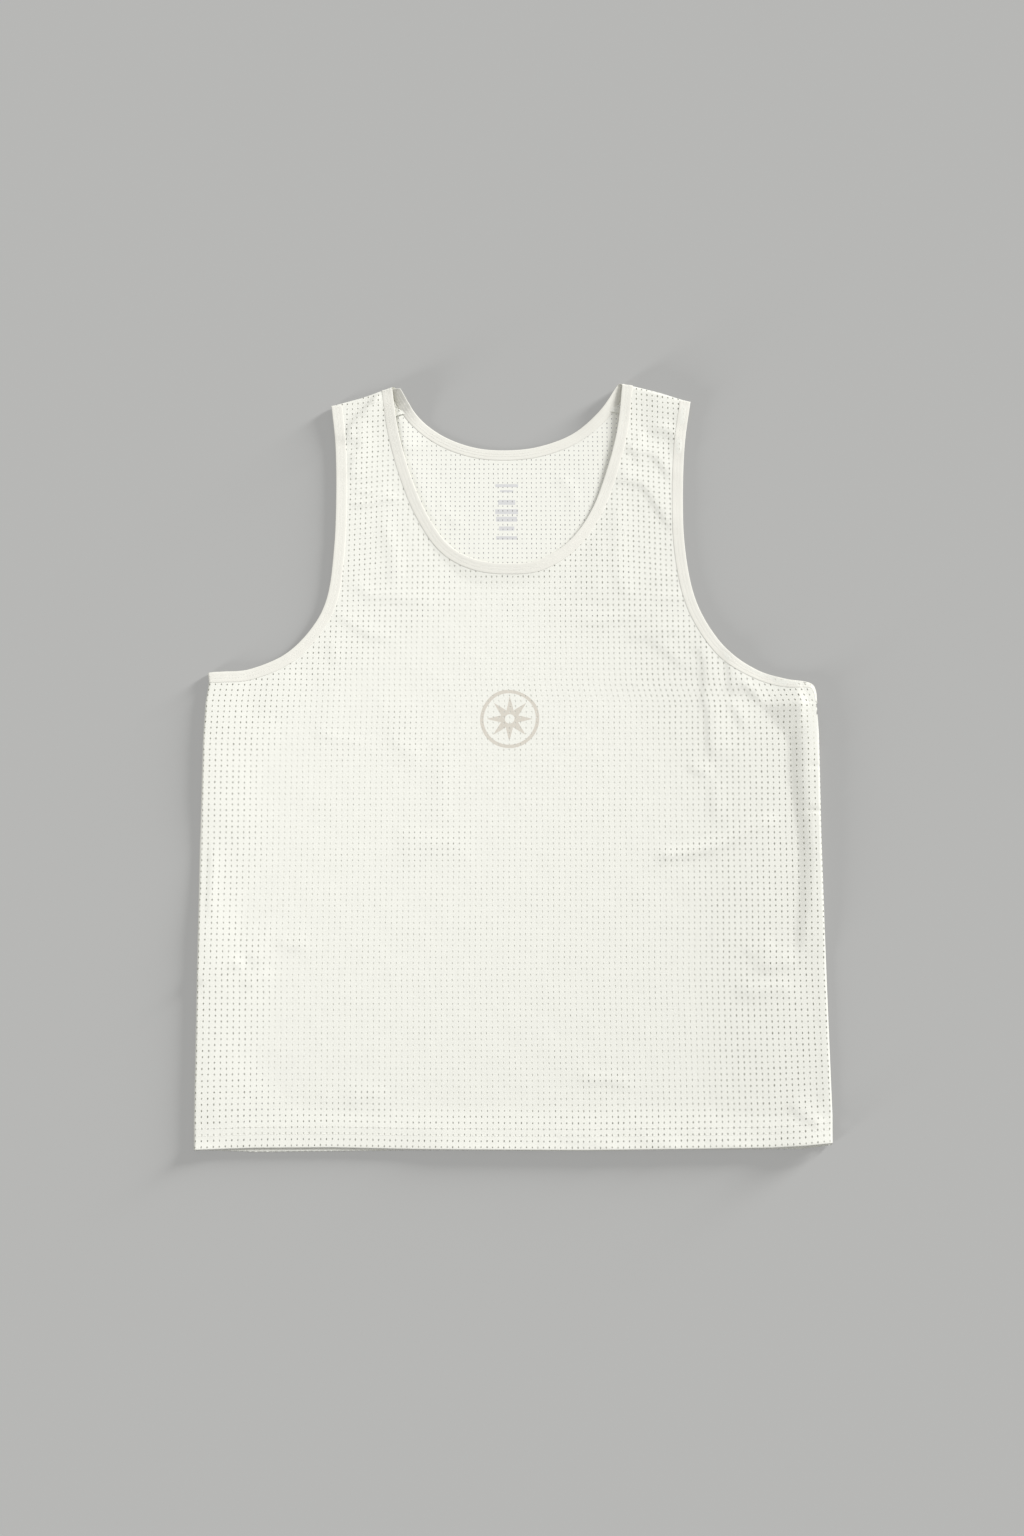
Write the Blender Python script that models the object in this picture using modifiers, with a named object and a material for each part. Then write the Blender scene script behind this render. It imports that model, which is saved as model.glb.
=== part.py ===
"""Running singlet laid flat with its front up.

Five pieces of cloth: a front panel that runs over the shoulder folds to the seams on the
back, a back panel, one binding round the neck and one round each armhole.  Both hems are
turned up.  Each piece is an open sheet lofted from its sections, with a Solidify wall.

Sizes are in millimetres, and the finished meshes in metres.  X runs to the right of someone
who looks down on the front with the neck at the top, Y runs from the hem to the neck, and
Z = 0 is the surface that the back lies on.
"""
import math
from collections import namedtuple

import bpy
import numpy as np

MM = 0.001
OBJECT_NAME = "running_singlet"

# Cloth
PANEL_WALL = 1.0
BINDING_WALL = 1.6
BINDING_WIDTH = 10.0
GAP = 0.3
HEM_DEPTH = 20.0
SEAM_BEHIND_FOLD = 18.0

# Heights of the middle of a wall above the surface.  A layer is a wall and the gap above it.
LAYER = PANEL_WALL + GAP
BACK_HEIGHT = PANEL_WALL / 2
BACK_BINDING_HEIGHT = BINDING_WALL / 2
FRONT_REST_HEIGHT = BACK_HEIGHT + LAYER
FRONT_BINDING_LIFT = (BINDING_WALL - PANEL_WALL) / 2

# The front stands off the back at the turned-up hems, along the sides and round the armholes
HEM_STAND = 2 * LAYER
HEM_REACH = 36.0
SIDE_STAND = 2.2
SIDE_PEAK = 14.0
ARMHOLE_STAND = 1.3
ARMHOLE_REACH = 26.0

# Counts of the sheets' sections
HEM_FOLD_STEPS = 5
SHOULDER_FOLD_STEPS = 8
WRAP_ROWS = 2
SPLINE_STEPS = 12
PanelGrid = namedtuple("PanelGrid", "side_columns strap_columns neck_columns body_rows strap_rows")
GRIDS = {"front": PanelGrid(10, 6, 11, 30, 12), "back": PanelGrid(10, 3, 11, 6, 10)}

# A strap starts at these shares of an armhole, from the underarm, and of a neck edge, from the left
ARMHOLE_TURN = 0.36
NECK_TURNS = {"front": (0.34, 0.67), "back": (0.20, 0.80)}

SideRow = namedtuple("SideRow", "y left right")
SIDES = (
    SideRow(-347.5, -265.9, 268.5),
    SideRow(-322.0, -267.2, 270.3),
    SideRow(-206.0, -270.1, 270.5),
    SideRow(-84.0, -272.6, 271.2),
    SideRow(6.0, -274.0, 273.0),
    SideRow(40.0, -273.2, 274.0),
    SideRow(57.5, -271.0, 265.4),
)

HemRow = namedtuple("HemRow", "x front back")
HEMS = (
    HemRow(-266.0, -347.2, -346.6),
    HemRow(-215.0, -345.6, -348.6),
    HemRow(-150.0, -345.2, -348.0),
    HemRow(-80.0, -346.6, -347.0),
    HemRow(60.0, -347.4, -347.0),
    HemRow(150.0, -346.4, -346.4),
    HemRow(218.0, -345.2, -345.6),
    HemRow(269.0, -341.6, -344.0),
)

# Finished edges, with the binding's width at each knot.  Armholes run from the underarm to the
# shoulder fold, and neck edges from the left shoulder fold to the right one.
Knot = namedtuple("Knot", "x y width")
ARMHOLE_LEFT = (
    Knot(-270.4, 67.4, BINDING_WIDTH),
    Knot(-234.5, 70.6, BINDING_WIDTH),
    Knot(-203.0, 85.0, BINDING_WIDTH),
    Knot(-179.4, 110.4, BINDING_WIDTH),
    Knot(-166.8, 139.6, BINDING_WIDTH),
    Knot(-162.0, 185.0, BINDING_WIDTH),
    Knot(-161.3, 235.0, BINDING_WIDTH),
    Knot(-163.2, 285.0, BINDING_WIDTH),
    Knot(-167.6, 323.6, BINDING_WIDTH),
)
ARMHOLE_RIGHT = (
    Knot(273.8, 47.0, 3.0),
    Knot(267.4, 56.4, 4.5),
    Knot(250.0, 60.4, 7.5),
    Knot(222.0, 69.4, 8.5),
    Knot(196.0, 86.8, BINDING_WIDTH),
    Knot(176.0, 114.6, BINDING_WIDTH),
    Knot(164.0, 146.2, BINDING_WIDTH),
    Knot(158.0, 190.0, BINDING_WIDTH),
    Knot(157.6, 235.0, BINDING_WIDTH),
    Knot(160.4, 285.0, BINDING_WIDTH),
    Knot(166.6, 327.3, BINDING_WIDTH),
)
NECK_FRONT = (
    Knot(-111.0, 339.8, BINDING_WIDTH),
    Knot(-105.5, 302.0, BINDING_WIDTH),
    Knot(-95.0, 262.0, BINDING_WIDTH),
    Knot(-79.6, 222.0, BINDING_WIDTH),
    Knot(-59.0, 190.0, BINDING_WIDTH),
    Knot(-34.0, 174.6, BINDING_WIDTH),
    Knot(-4.0, 170.4, BINDING_WIDTH),
    Knot(26.0, 174.0, BINDING_WIDTH),
    Knot(53.5, 193.0, BINDING_WIDTH),
    Knot(74.0, 223.0, BINDING_WIDTH),
    Knot(88.5, 263.0, BINDING_WIDTH),
    Knot(98.2, 302.0, BINDING_WIDTH),
    Knot(103.0, 343.2, BINDING_WIDTH),
)
NECK_BACK = (
    Knot(-103.5, 340.5, BINDING_WIDTH),
    Knot(-87.5, 315.0, BINDING_WIDTH),
    Knot(-63.0, 295.4, BINDING_WIDTH),
    Knot(-34.0, 284.2, BINDING_WIDTH),
    Knot(-4.0, 281.6, BINDING_WIDTH),
    Knot(26.0, 285.4, BINDING_WIDTH),
    Knot(57.0, 298.0, BINDING_WIDTH),
    Knot(82.0, 320.0, BINDING_WIDTH),
    Knot(99.0, 345.0, BINDING_WIDTH),
)

# Soft rises of the front, each with its centre, its reach along X and Y, and its height
Rise = namedtuple("Rise", "x y reach_x reach_y height")
RISES = (
    Rise(-108.0, 345.0, 26.0, 42.0, 5.6),
    Rise(-168.0, 330.0, 34.0, 40.0, 1.6),
    Rise(104.0, 350.0, 30.0, 46.0, 4.0),
    Rise(166.0, 330.0, 34.0, 40.0, 1.6),
    Rise(-138.0, 230.0, 26.0, 110.0, 1.6),
    Rise(134.0, 230.0, 28.0, 110.0, 2.0),
    Rise(205.0, 40.0, 55.0, 30.0, 1.4),
    Rise(252.0, -320.0, 26.0, 24.0, 1.6),
)

# The largest folds, each a soft ridge along a straight line
Fold = namedtuple("Fold", "x_start y_start x_end y_end half_width height")
FOLDS = (
    Fold(266.0, 30.0, 265.0, -130.0, 9.0, 2.6),
    Fold(210.0, 62.0, 262.0, 44.0, 9.0, 2.4),
    Fold(236.0, 20.0, 234.0, -110.0, 13.0, 2.0),
    Fold(150.0, -94.0, 226.0, -60.0, 10.0, 2.2),
    Fold(182.0, 70.0, 186.0, -20.0, 12.0, 1.6),
    Fold(212.0, -188.0, 244.0, -176.0, 10.0, 1.8),
    Fold(116.0, 262.0, 146.0, 222.0, 10.0, 1.6),
    Fold(-146.0, 316.0, -116.0, 330.0, 10.0, 1.4),
    Fold(-230.0, -172.0, -180.0, -178.0, 10.0, 1.6),
    Fold(-150.0, 120.0, -112.0, 128.0, 10.0, 1.2),
)

PANEL_COLOUR = (0.90, 0.90, 0.83, 1.0)
BINDING_COLOUR = (0.86, 0.85, 0.78, 1.0)
CLOTH_ROUGHNESS = 0.75


class Line:
    """A line in plan, by shares from 0 to 1.  A finished edge has the binding's width as well."""

    def __init__(self, points, shares):
        self.points = np.array(points, float)
        self.shares = np.array(shares, float)

    @classmethod
    def through(cls, knots):
        """A Catmull-Rom curve through the knots, with its shares by length."""
        knots = np.array(knots, float)
        padded = np.vstack([2 * knots[0] - knots[1], knots, 2 * knots[-1] - knots[-2]])
        points = []
        for before, start, end, after in zip(padded, padded[1:], padded[2:], padded[3:]):
            for t in np.arange(SPLINE_STEPS) / SPLINE_STEPS:
                linear = (end - before) * t
                square = (2 * before - 5 * start + 4 * end - after) * t ** 2
                cube = (3 * start - before - 3 * end + after) * t ** 3
                points.append(start + (linear + square + cube) / 2)
        points.append(knots[-1])
        steps = np.linalg.norm(np.diff(np.array(points)[:, :2], axis=0), axis=1)
        lengths = np.concatenate([[0.0], np.cumsum(steps)])
        return cls(points, lengths / lengths[-1])

    @property
    def length(self):
        return float(np.sum(np.linalg.norm(np.diff(self.points[:, :2], axis=0), axis=1)))

    def at(self, share):
        """The point at a share of the line."""
        return np.array([np.interp(share, self.shares, column) for column in self.points.T])

    def part(self, start, end):
        """The stretch from one share to another, which may be the lower one."""
        shares = np.linspace(0.0, 1.0, 8 * SPLINE_STEPS)
        return Line([self.at(start + (end - start) * share) for share in shares], shares)

    def moved_in(self, side, extra):
        """The line moved to its right (side 1) or left (side -1) by the binding's width and extra.

        A share stays opposite the same share of the line that it came from.
        """
        along = np.gradient(self.points[:, :2], axis=0)
        along /= np.linalg.norm(along, axis=1)[:, None]
        across = np.column_stack([along[:, 1], -along[:, 0]]) * side
        return Line(self.points[:, :2] + across * (self.points[:, 2:3] + extra), self.shares)


EDGES = {
    "armhole_left": Line.through(ARMHOLE_LEFT),
    "armhole_right": Line.through(ARMHOLE_RIGHT),
    "neck_front": Line.through(NECK_FRONT),
    "neck_back": Line.through(NECK_BACK),
}
CLOTH_SIDE = {"armhole_left": 1, "armhole_right": -1, "neck_front": 1, "neck_back": 1}


def blend(start, end, share):
    """The point at a share of the way between two points."""
    return np.asarray(start) * (1 - share) + np.asarray(end) * share


def ease(value):
    """A smooth step from 0 to 1."""
    value = min(max(value, 0.0), 1.0)
    return value * value * (3 - 2 * value)


def side_at(y):
    """X of the left and right side seams at a place up the body."""
    rows = np.array(SIDES)
    return float(np.interp(y, rows[:, 0], rows[:, 1])), float(np.interp(y, rows[:, 0], rows[:, 2]))


def hem_at(x, panel):
    """Y of the folded hem edge of the front or the back."""
    rows = np.array([(row.x, getattr(row, panel)) for row in HEMS])
    return float(np.interp(x, rows[:, 0], rows[:, 1]))


def distance_to_fold(x, y, fold):
    """Distance in plan from a place to a fold's line."""
    start = np.array([fold.x_start, fold.y_start])
    along = np.array([fold.x_end, fold.y_end]) - start
    away = np.array([x, y]) - start
    share = np.clip(np.dot(away, along) / np.dot(along, along), 0.0, 1.0)
    return float(np.linalg.norm(away - share * along))


def front_height(x, y):
    """Height of the middle of the front's wall at a place in plan."""
    left, right = side_at(y)
    from_side = max(min(x - left, right - x), 0.0)
    armhole = EDGES["armhole_left" if x < 0 else "armhole_right"]
    from_armhole = float(np.min(np.linalg.norm(armhole.points[:, :2] - (x, y), axis=1)))
    height = FRONT_REST_HEIGHT
    if y < ARMHOLE_LEFT[0].y:
        height += SIDE_STAND * from_side / SIDE_PEAK * math.exp(1 - from_side / SIDE_PEAK)
    height += ARMHOLE_STAND * (1 - ease(from_armhole / ARMHOLE_REACH))
    height += HEM_STAND * ease((hem_at(x, "front") + HEM_DEPTH + HEM_REACH - y) / HEM_REACH)
    for rise in RISES:
        reach = ((x - rise.x) / rise.reach_x) ** 2 + ((y - rise.y) / rise.reach_y) ** 2
        height += rise.height * math.exp(-reach)
    for fold in FOLDS:
        height += fold.height * math.exp(-(distance_to_fold(x, y, fold) / fold.half_width) ** 2)
    return height


def back_height(x, y):
    """Height of the middle of the back's wall, which lies flat."""
    return BACK_HEIGHT


HEIGHTS = {"front": front_height, "back": back_height}
HEM_TURN = {"front": -LAYER, "back": LAYER}


def panel_edge(name):
    """A panel's edge beside a binding."""
    return EDGES[name].moved_in(CLOTH_SIDE[name], GAP)


def strap_edges(side, panel):
    """The armhole edge and the neck edge of a strap, each from the strap's foot to the shoulder."""
    neck = panel_edge("neck_" + panel)
    first, last = NECK_TURNS[panel]
    neck = neck.part(first, 0.0) if side == "left" else neck.part(last, 1.0)
    return panel_edge("armhole_" + side).part(ARMHOLE_TURN, 1.0), neck


def across_strap(edges, shares, across):
    """A place on a strap, by its share up each edge and its share across from the armhole."""
    return blend(edges[0].at(shares[0]), edges[1].at(shares[1]), across)


def outward_at(side):
    """Unit vector in plan across a shoulder fold, away from the body."""
    along = EDGES["neck_front"].at(0.0 if side == "left" else 1.0) - EDGES["armhole_" + side].at(1.0)
    across = np.array([-along[1], along[0]]) * (1 if side == "left" else -1)
    return across / np.linalg.norm(across)


def over_shoulder(side, front_end, back_start):
    """Points of the half circle from the front's last point to the back's first."""
    radius = (front_end[2] - back_start[2]) / 2
    outward = np.append(outward_at(side), 0.0)
    points = []
    for step in range(1, SHOULDER_FOLD_STEPS + 1):
        turn = math.pi * step / SHOULDER_FOLD_STEPS
        middle = blend(front_end, back_start, (1 - math.cos(turn)) / 2)
        points.append(middle + outward * radius * math.sin(turn))
    return points


def turned_up_hem(x, hem_line, panel):
    """Points of a hem from its raw edge inside the singlet to the end of its fold."""
    height = HEIGHTS[panel]
    turn_in = HEM_TURN[panel]
    points = [(x, hem_line + HEM_DEPTH * share, height(x, hem_line) + turn_in) for share in (1.0, 0.5)]
    for step in range(HEM_FOLD_STEPS):
        turn = math.pi * step / HEM_FOLD_STEPS
        y = hem_line + LAYER / 2 * (1 - math.sin(turn))
        points.append((x, y, height(x, hem_line) + turn_in * (1 + math.cos(turn)) / 2))
    return points


def body_points(share, top, panel):
    """Points up the body from the hem's fold to a place on its top."""
    hem_x = blend(*side_at(SIDES[0].y), share)
    hem_line = hem_at(hem_x, panel) + PANEL_WALL / 2
    points = turned_up_hem(hem_x, hem_line, panel)
    lean = top[0] - blend(*side_at(top[1]), share)
    rows = GRIDS[panel].body_rows
    for row in range(rows + 1):
        up = row / rows
        y = blend(hem_line + LAYER / 2, top[1], up)
        x = blend(*side_at(y), share) + lean * up
        points.append((x, y, HEIGHTS[panel](x, y)))
    return points


def strap_shares(panel, edge):
    """Shares up an edge of a strap, from its foot to the shoulder fold, at which it has points."""
    rows = GRIDS[panel].strap_rows
    if panel == "front":
        return [row / rows for row in range(rows + 1)]
    below_seam = 1 - (SEAM_BEHIND_FOLD + GAP) / edge.length
    shares = [below_seam * row / rows for row in range(rows + 1)]
    wrap = SEAM_BEHIND_FOLD / edge.length / WRAP_ROWS
    return shares + [1 - wrap * row for row in range(WRAP_ROWS, -1, -1)]


def strap_places(side, panel, across):
    """Places up a strap at a share across it, from its foot to the shoulder fold."""
    edges = strap_edges(side, panel)
    shares = zip(*(strap_shares(panel, edge) for edge in edges))
    return [across_strap(edges, pair, across) for pair in shares]


def front_strap_points(side, across):
    """Points up a front strap, over the shoulder fold and down the back to the shoulder seam."""
    points = [(x, y, front_height(x, y)) for x, y in strap_places(side, "front", across)[1:]]
    wrap = [(x, y, BACK_HEIGHT) for x, y in strap_places(side, "back", across)[:-WRAP_ROWS - 2:-1]]
    return points + over_shoulder(side, points[-1], wrap[0]) + wrap[1:]


def back_strap_points(side, across):
    """Points up a back strap to the shoulder seam."""
    places = strap_places(side, "back", across)[1:GRIDS["back"].strap_rows + 1]
    return [(x, y, BACK_HEIGHT) for x, y in places]


STRAP_POINTS = {"front": front_strap_points, "back": back_strap_points}


def body_tops(panel):
    """Places along the top of a panel's body, each with its strap and its share across that strap."""
    grid = GRIDS[panel]
    halves = {}
    for side in ("left", "right"):
        underarm = panel_edge("armhole_" + side).part(0.0, ARMHOLE_TURN)
        edges = strap_edges(side, panel)
        under = [(underarm.at(k / grid.side_columns), None, 0.0) for k in range(grid.side_columns)]
        shares = [k / grid.strap_columns for k in range(grid.strap_columns + 1)]
        halves[side] = under + [(across_strap(edges, (0.0, 0.0), k), side, k) for k in shares]
    neck = panel_edge("neck_" + panel).part(*NECK_TURNS[panel])
    middle = [(neck.at(k / grid.neck_columns), None, 0.0) for k in range(1, grid.neck_columns)]
    return halves["left"] + middle + halves["right"][::-1]


def panel_columns(panel):
    """A panel's sheet as columns of points, from side seam to side seam."""
    tops = body_tops(panel)
    columns = []
    for number, (top, side, across) in enumerate(tops):
        share = number / (len(tops) - 1)
        column = body_points(share, top, panel)
        if side:
            column += STRAP_POINTS[panel](side, across)
        columns.append(column)
    return columns


def binding_rows(name, height, shares):
    """Pairs of points across a binding, at its finished edge and beside the panel."""
    edge = EDGES[name]
    inner = edge.moved_in(CLOTH_SIDE[name], 0.0)
    rows = []
    for share in shares:
        rows.append([(x, y, height(x, y)) for x, y in (edge.at(share)[:2], inner.at(share))])
    return rows


def front_binding_height(x, y):
    """Height of the middle of a binding on the front."""
    return front_height(x, y) + FRONT_BINDING_LIFT


def back_binding_height(x, y):
    """Height of the middle of a binding on the back."""
    return BACK_BINDING_HEIGHT


def rows_over_shoulder(side, front_row, back_row):
    """Pairs of points of a binding over a shoulder fold, without its first and last pair."""
    folds = [over_shoulder(side, front, back) for front, back in zip(front_row, back_row)]
    return [list(pair) for pair in zip(*folds)][:-1]


def armhole_shares(side, panel):
    """Shares of an armhole, from the underarm, at which the panel beside it has points."""
    grid = GRIDS[panel]
    strap = strap_shares(panel, strap_edges(side, panel)[0])
    under = [ARMHOLE_TURN * k / grid.side_columns for k in range(grid.side_columns)]
    return under + [ARMHOLE_TURN + (1 - ARMHOLE_TURN) * share for share in strap]


def neck_shares(panel):
    """Shares of a neck edge, from the left shoulder fold, at which the panel beside it has points."""
    grid = GRIDS[panel]
    first, last = NECK_TURNS[panel]
    left = [first * (1 - share) for share in strap_shares(panel, strap_edges("left", panel)[1])]
    right = [last + (1 - last) * share for share in strap_shares(panel, strap_edges("right", panel)[1])]
    middle = [first + (last - first) * k / grid.neck_columns for k in range(1, grid.neck_columns)]
    return left[::-1] + middle + right


def armhole_columns(side):
    """Both long edges of an armhole binding, from the underarm over the shoulder to the underarm."""
    front = binding_rows("armhole_" + side, front_binding_height, armhole_shares(side, "front"))
    back = binding_rows("armhole_" + side, back_binding_height, armhole_shares(side, "back")[::-1])
    return list(zip(*(front + rows_over_shoulder(side, front[-1], back[0]) + back)))


def neck_columns():
    """Both long edges of the neck binding, once round from the left shoulder fold."""
    front = binding_rows("neck_front", front_binding_height, neck_shares("front"))
    back = binding_rows("neck_back", back_binding_height, neck_shares("back")[::-1])
    right = rows_over_shoulder("right", front[-1], back[0])
    left = rows_over_shoulder("left", front[0], back[-1])
    return list(zip(*(front + right + back + left[::-1])))


def sheet_mesh(name, columns, closed):
    """A mesh of quads between neighbouring columns, which share points as far as both reach."""
    points = []
    starts = []
    for column in columns:
        starts.append(len(points))
        points += [tuple(float(value) * MM for value in point) for point in column]
    faces = []
    for k in range(len(columns) - 1):
        count = min(len(columns[k]), len(columns[k + 1]))
        for row in range(count if closed else count - 1):
            after = (row + 1) % count
            faces.append((starts[k] + row, starts[k + 1] + row, starts[k + 1] + after, starts[k] + after))
    mesh = bpy.data.meshes.new(name)
    mesh.from_pydata(points, [], faces)
    mesh.validate()
    return mesh


def cloth_material(name, colour):
    """Plain matt cloth."""
    material = bpy.data.materials.new(name)
    material.use_nodes = True
    shader = material.node_tree.nodes["Principled BSDF"]
    shader.inputs["Base Color"].default_value = colour
    shader.inputs["Roughness"].default_value = CLOTH_ROUGHNESS
    shader.inputs["Metallic"].default_value = 0.0
    return material


def add_cloth(collection, name, columns, wall, material, closed=False):
    """A named piece of cloth: its sheet with a wall half on each side."""
    piece = bpy.data.objects.new(name, sheet_mesh(name, columns, closed))
    collection.objects.link(piece)
    piece.data.materials.append(material)
    solidify = piece.modifiers.new("wall", "SOLIDIFY")
    solidify.thickness = wall * MM
    solidify.offset = 0.0
    piece.data.shade_smooth()
    return piece


def main():
    """Builds every piece of the singlet in its own collection."""
    for item in list(bpy.data.objects):
        bpy.data.objects.remove(item, do_unlink=True)
    collection = bpy.data.collections.new(OBJECT_NAME)
    bpy.context.scene.collection.children.link(collection)
    panel_cloth = cloth_material("perforated_knit", PANEL_COLOUR)
    binding_cloth = cloth_material("binding_knit", BINDING_COLOUR)
    for panel in ("front", "back"):
        add_cloth(collection, panel + "_panel", panel_columns(panel), PANEL_WALL, panel_cloth)
    add_cloth(collection, "neck_binding", neck_columns(), BINDING_WALL, binding_cloth, closed=True)
    for side in ("left", "right"):
        add_cloth(collection, "armhole_binding_" + side, armhole_columns(side), BINDING_WALL,
                  binding_cloth)


main()
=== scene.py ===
"""Looks of the running singlet, laid flat with its front up on a pale floor.

The perforated knit is cut flat and punched by Geometry Nodes, and each panel then lays its cut
over the frame's form: hems turned up, straps over the shoulder folds, creases where the cloth is
slack.  Folded bindings run round the neck and the armholes, and Geometry Nodes sew them and the
hems with their stitches.

Places and sizes are in millimetres until a mesh is made, and meshes are in metres.  X runs to the
right of someone who looks down on the front, Y from the hem to the neck, and Z = 0 is the floor.
"""

import logging
import math
from dataclasses import dataclass, field, replace
from enum import Enum

import bpy
import numpy as np
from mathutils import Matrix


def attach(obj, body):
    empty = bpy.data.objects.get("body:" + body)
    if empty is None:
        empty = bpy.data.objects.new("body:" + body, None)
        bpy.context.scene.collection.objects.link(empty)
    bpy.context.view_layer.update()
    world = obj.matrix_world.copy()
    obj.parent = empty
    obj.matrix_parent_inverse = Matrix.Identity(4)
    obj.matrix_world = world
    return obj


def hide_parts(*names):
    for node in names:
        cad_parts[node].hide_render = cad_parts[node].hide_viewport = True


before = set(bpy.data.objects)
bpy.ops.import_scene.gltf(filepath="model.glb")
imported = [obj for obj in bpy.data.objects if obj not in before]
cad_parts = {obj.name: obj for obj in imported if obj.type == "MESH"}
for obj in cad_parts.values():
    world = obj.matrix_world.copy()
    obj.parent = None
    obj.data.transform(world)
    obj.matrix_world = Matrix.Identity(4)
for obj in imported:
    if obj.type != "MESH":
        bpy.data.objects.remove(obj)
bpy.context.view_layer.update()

MM = 0.001
BODY = "root"
FLAT_MAP = "flat"

Array = np.ndarray
Object = bpy.types.Object
Mesh = bpy.types.Mesh
Material = bpy.types.Material
Node = bpy.types.Node
Socket = bpy.types.NodeSocket
Given = bpy.types.NodeOutputs
Point = tuple[float, float]
Colour = tuple[float, float, float, float]

log = logging.getLogger("singlet")


# ---- Driving sizes ----

BINDING_WIDTH = 10.0
HEM_DEPTH = 20.0
FRONT_COLUMNS = 110
BACK_COLUMNS = 112
HEM_NEEDLES = (11.7, 17.9)
SEAM_BEHIND_FOLD = 18.0
SEAM_ALLOWANCE = 7.0

BACK_LIE = 0.45
BACK_BINDING_LIE = 0.50
FRONT_LIE = 0.80
LEAST_GAP = 0.25
BINDINGS_APART = 0.90
SIDE_SEAM_HEIGHT = 0.8


class Face(Enum):
    """The two cloths of the body, by which way they face."""

    FRONT = "front"
    BACK = "back"


class Side(Enum):
    """The two halves of the singlet as seen from in front; the value is the sign of X."""

    LEFT = -1
    RIGHT = 1

    @property
    def word(self) -> str:
        """The side's name in a piece's name."""
        return self.name.lower()


def ease(value: Array) -> Array:
    """A smooth step from 0 to 1."""
    value = np.clip(value, 0.0, 1.0)
    return value * value * (3.0 - 2.0 * value)


def table(rows: tuple[tuple[float, ...], ...], at: Array, column: int) -> Array:
    """Reads one column of a table whose first column rises, between its rows.

    Args:
        rows: the table's rows.
        at: values of the first column.
        column: which column to read.

    Returns:
        The column's values there.
    """
    rows_array = np.array(rows, float)
    return np.interp(at, rows_array[:, 0], rows_array[:, column])


def beside(start: Array, end: Array, x: Array, y: Array) -> tuple[Array, Array, Array]:
    """Where places lie beside a straight run.

    Args:
        start, end: the ends of the run in plan.
        x, y: the places.

    Returns:
        The share of the run that is nearest to each place, the distance to it, and a number that
        is above zero on the left of the run's way and below zero on its right.
    """
    way = end - start
    share = ((x - start[0]) * way[0] + (y - start[1]) * way[1]) / (way @ way)
    share = np.clip(share, 0.0, 1.0)
    off_x, off_y = x - start[0] - share * way[0], y - start[1] - share * way[1]
    return share, np.hypot(off_x, off_y), way[0] * off_y - way[1] * off_x


# y, x of the left side seam, x of the right side seam
SIDES = (
    (-347.5, -265.9, 268.5),
    (-322, -267.2, 270.3),
    (-206, -270.1, 270.5),
    (-84, -272.6, 271.2),
    (6, -274, 273),
    (40, -273.2, 274),
    (57.5, -271, 268.4),
)

# x, y of the front's folded hem, y of the back's folded hem
HEMS = (
    (-266, -347.2, -346.6),
    (-215, -345.6, -348.6),
    (-150, -345.2, -348),
    (-80, -346.6, -347),
    (60, -347.4, -347),
    (150, -346.4, -346.4),
    (218, -345.4, -346.2),
    (243, -343.9, -346),
    (269, -341.6, -342.6),
)


def side_at(y: Array, side: Side) -> Array:
    """X of a side seam at places up the body."""
    return table(SIDES, y, 1 if side is Side.LEFT else 2)


def from_sides(x: Array, y: Array) -> Array:
    """How far places are inside the nearer side seam."""
    return np.minimum(x - side_at(y, Side.LEFT), side_at(y, Side.RIGHT) - x)


def hem_at(x: Array, face: Face) -> Array:
    """Y of the folded hem edge of the front or the back."""
    return table(HEMS, x, 1 if face is Face.FRONT else 2)


# ---- Finished edges ----

@dataclass(frozen=True)
class Knot:
    """A place on a finished edge, with the width that the binding shows there."""

    x: float
    y: float
    width: float = BINDING_WIDTH


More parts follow.
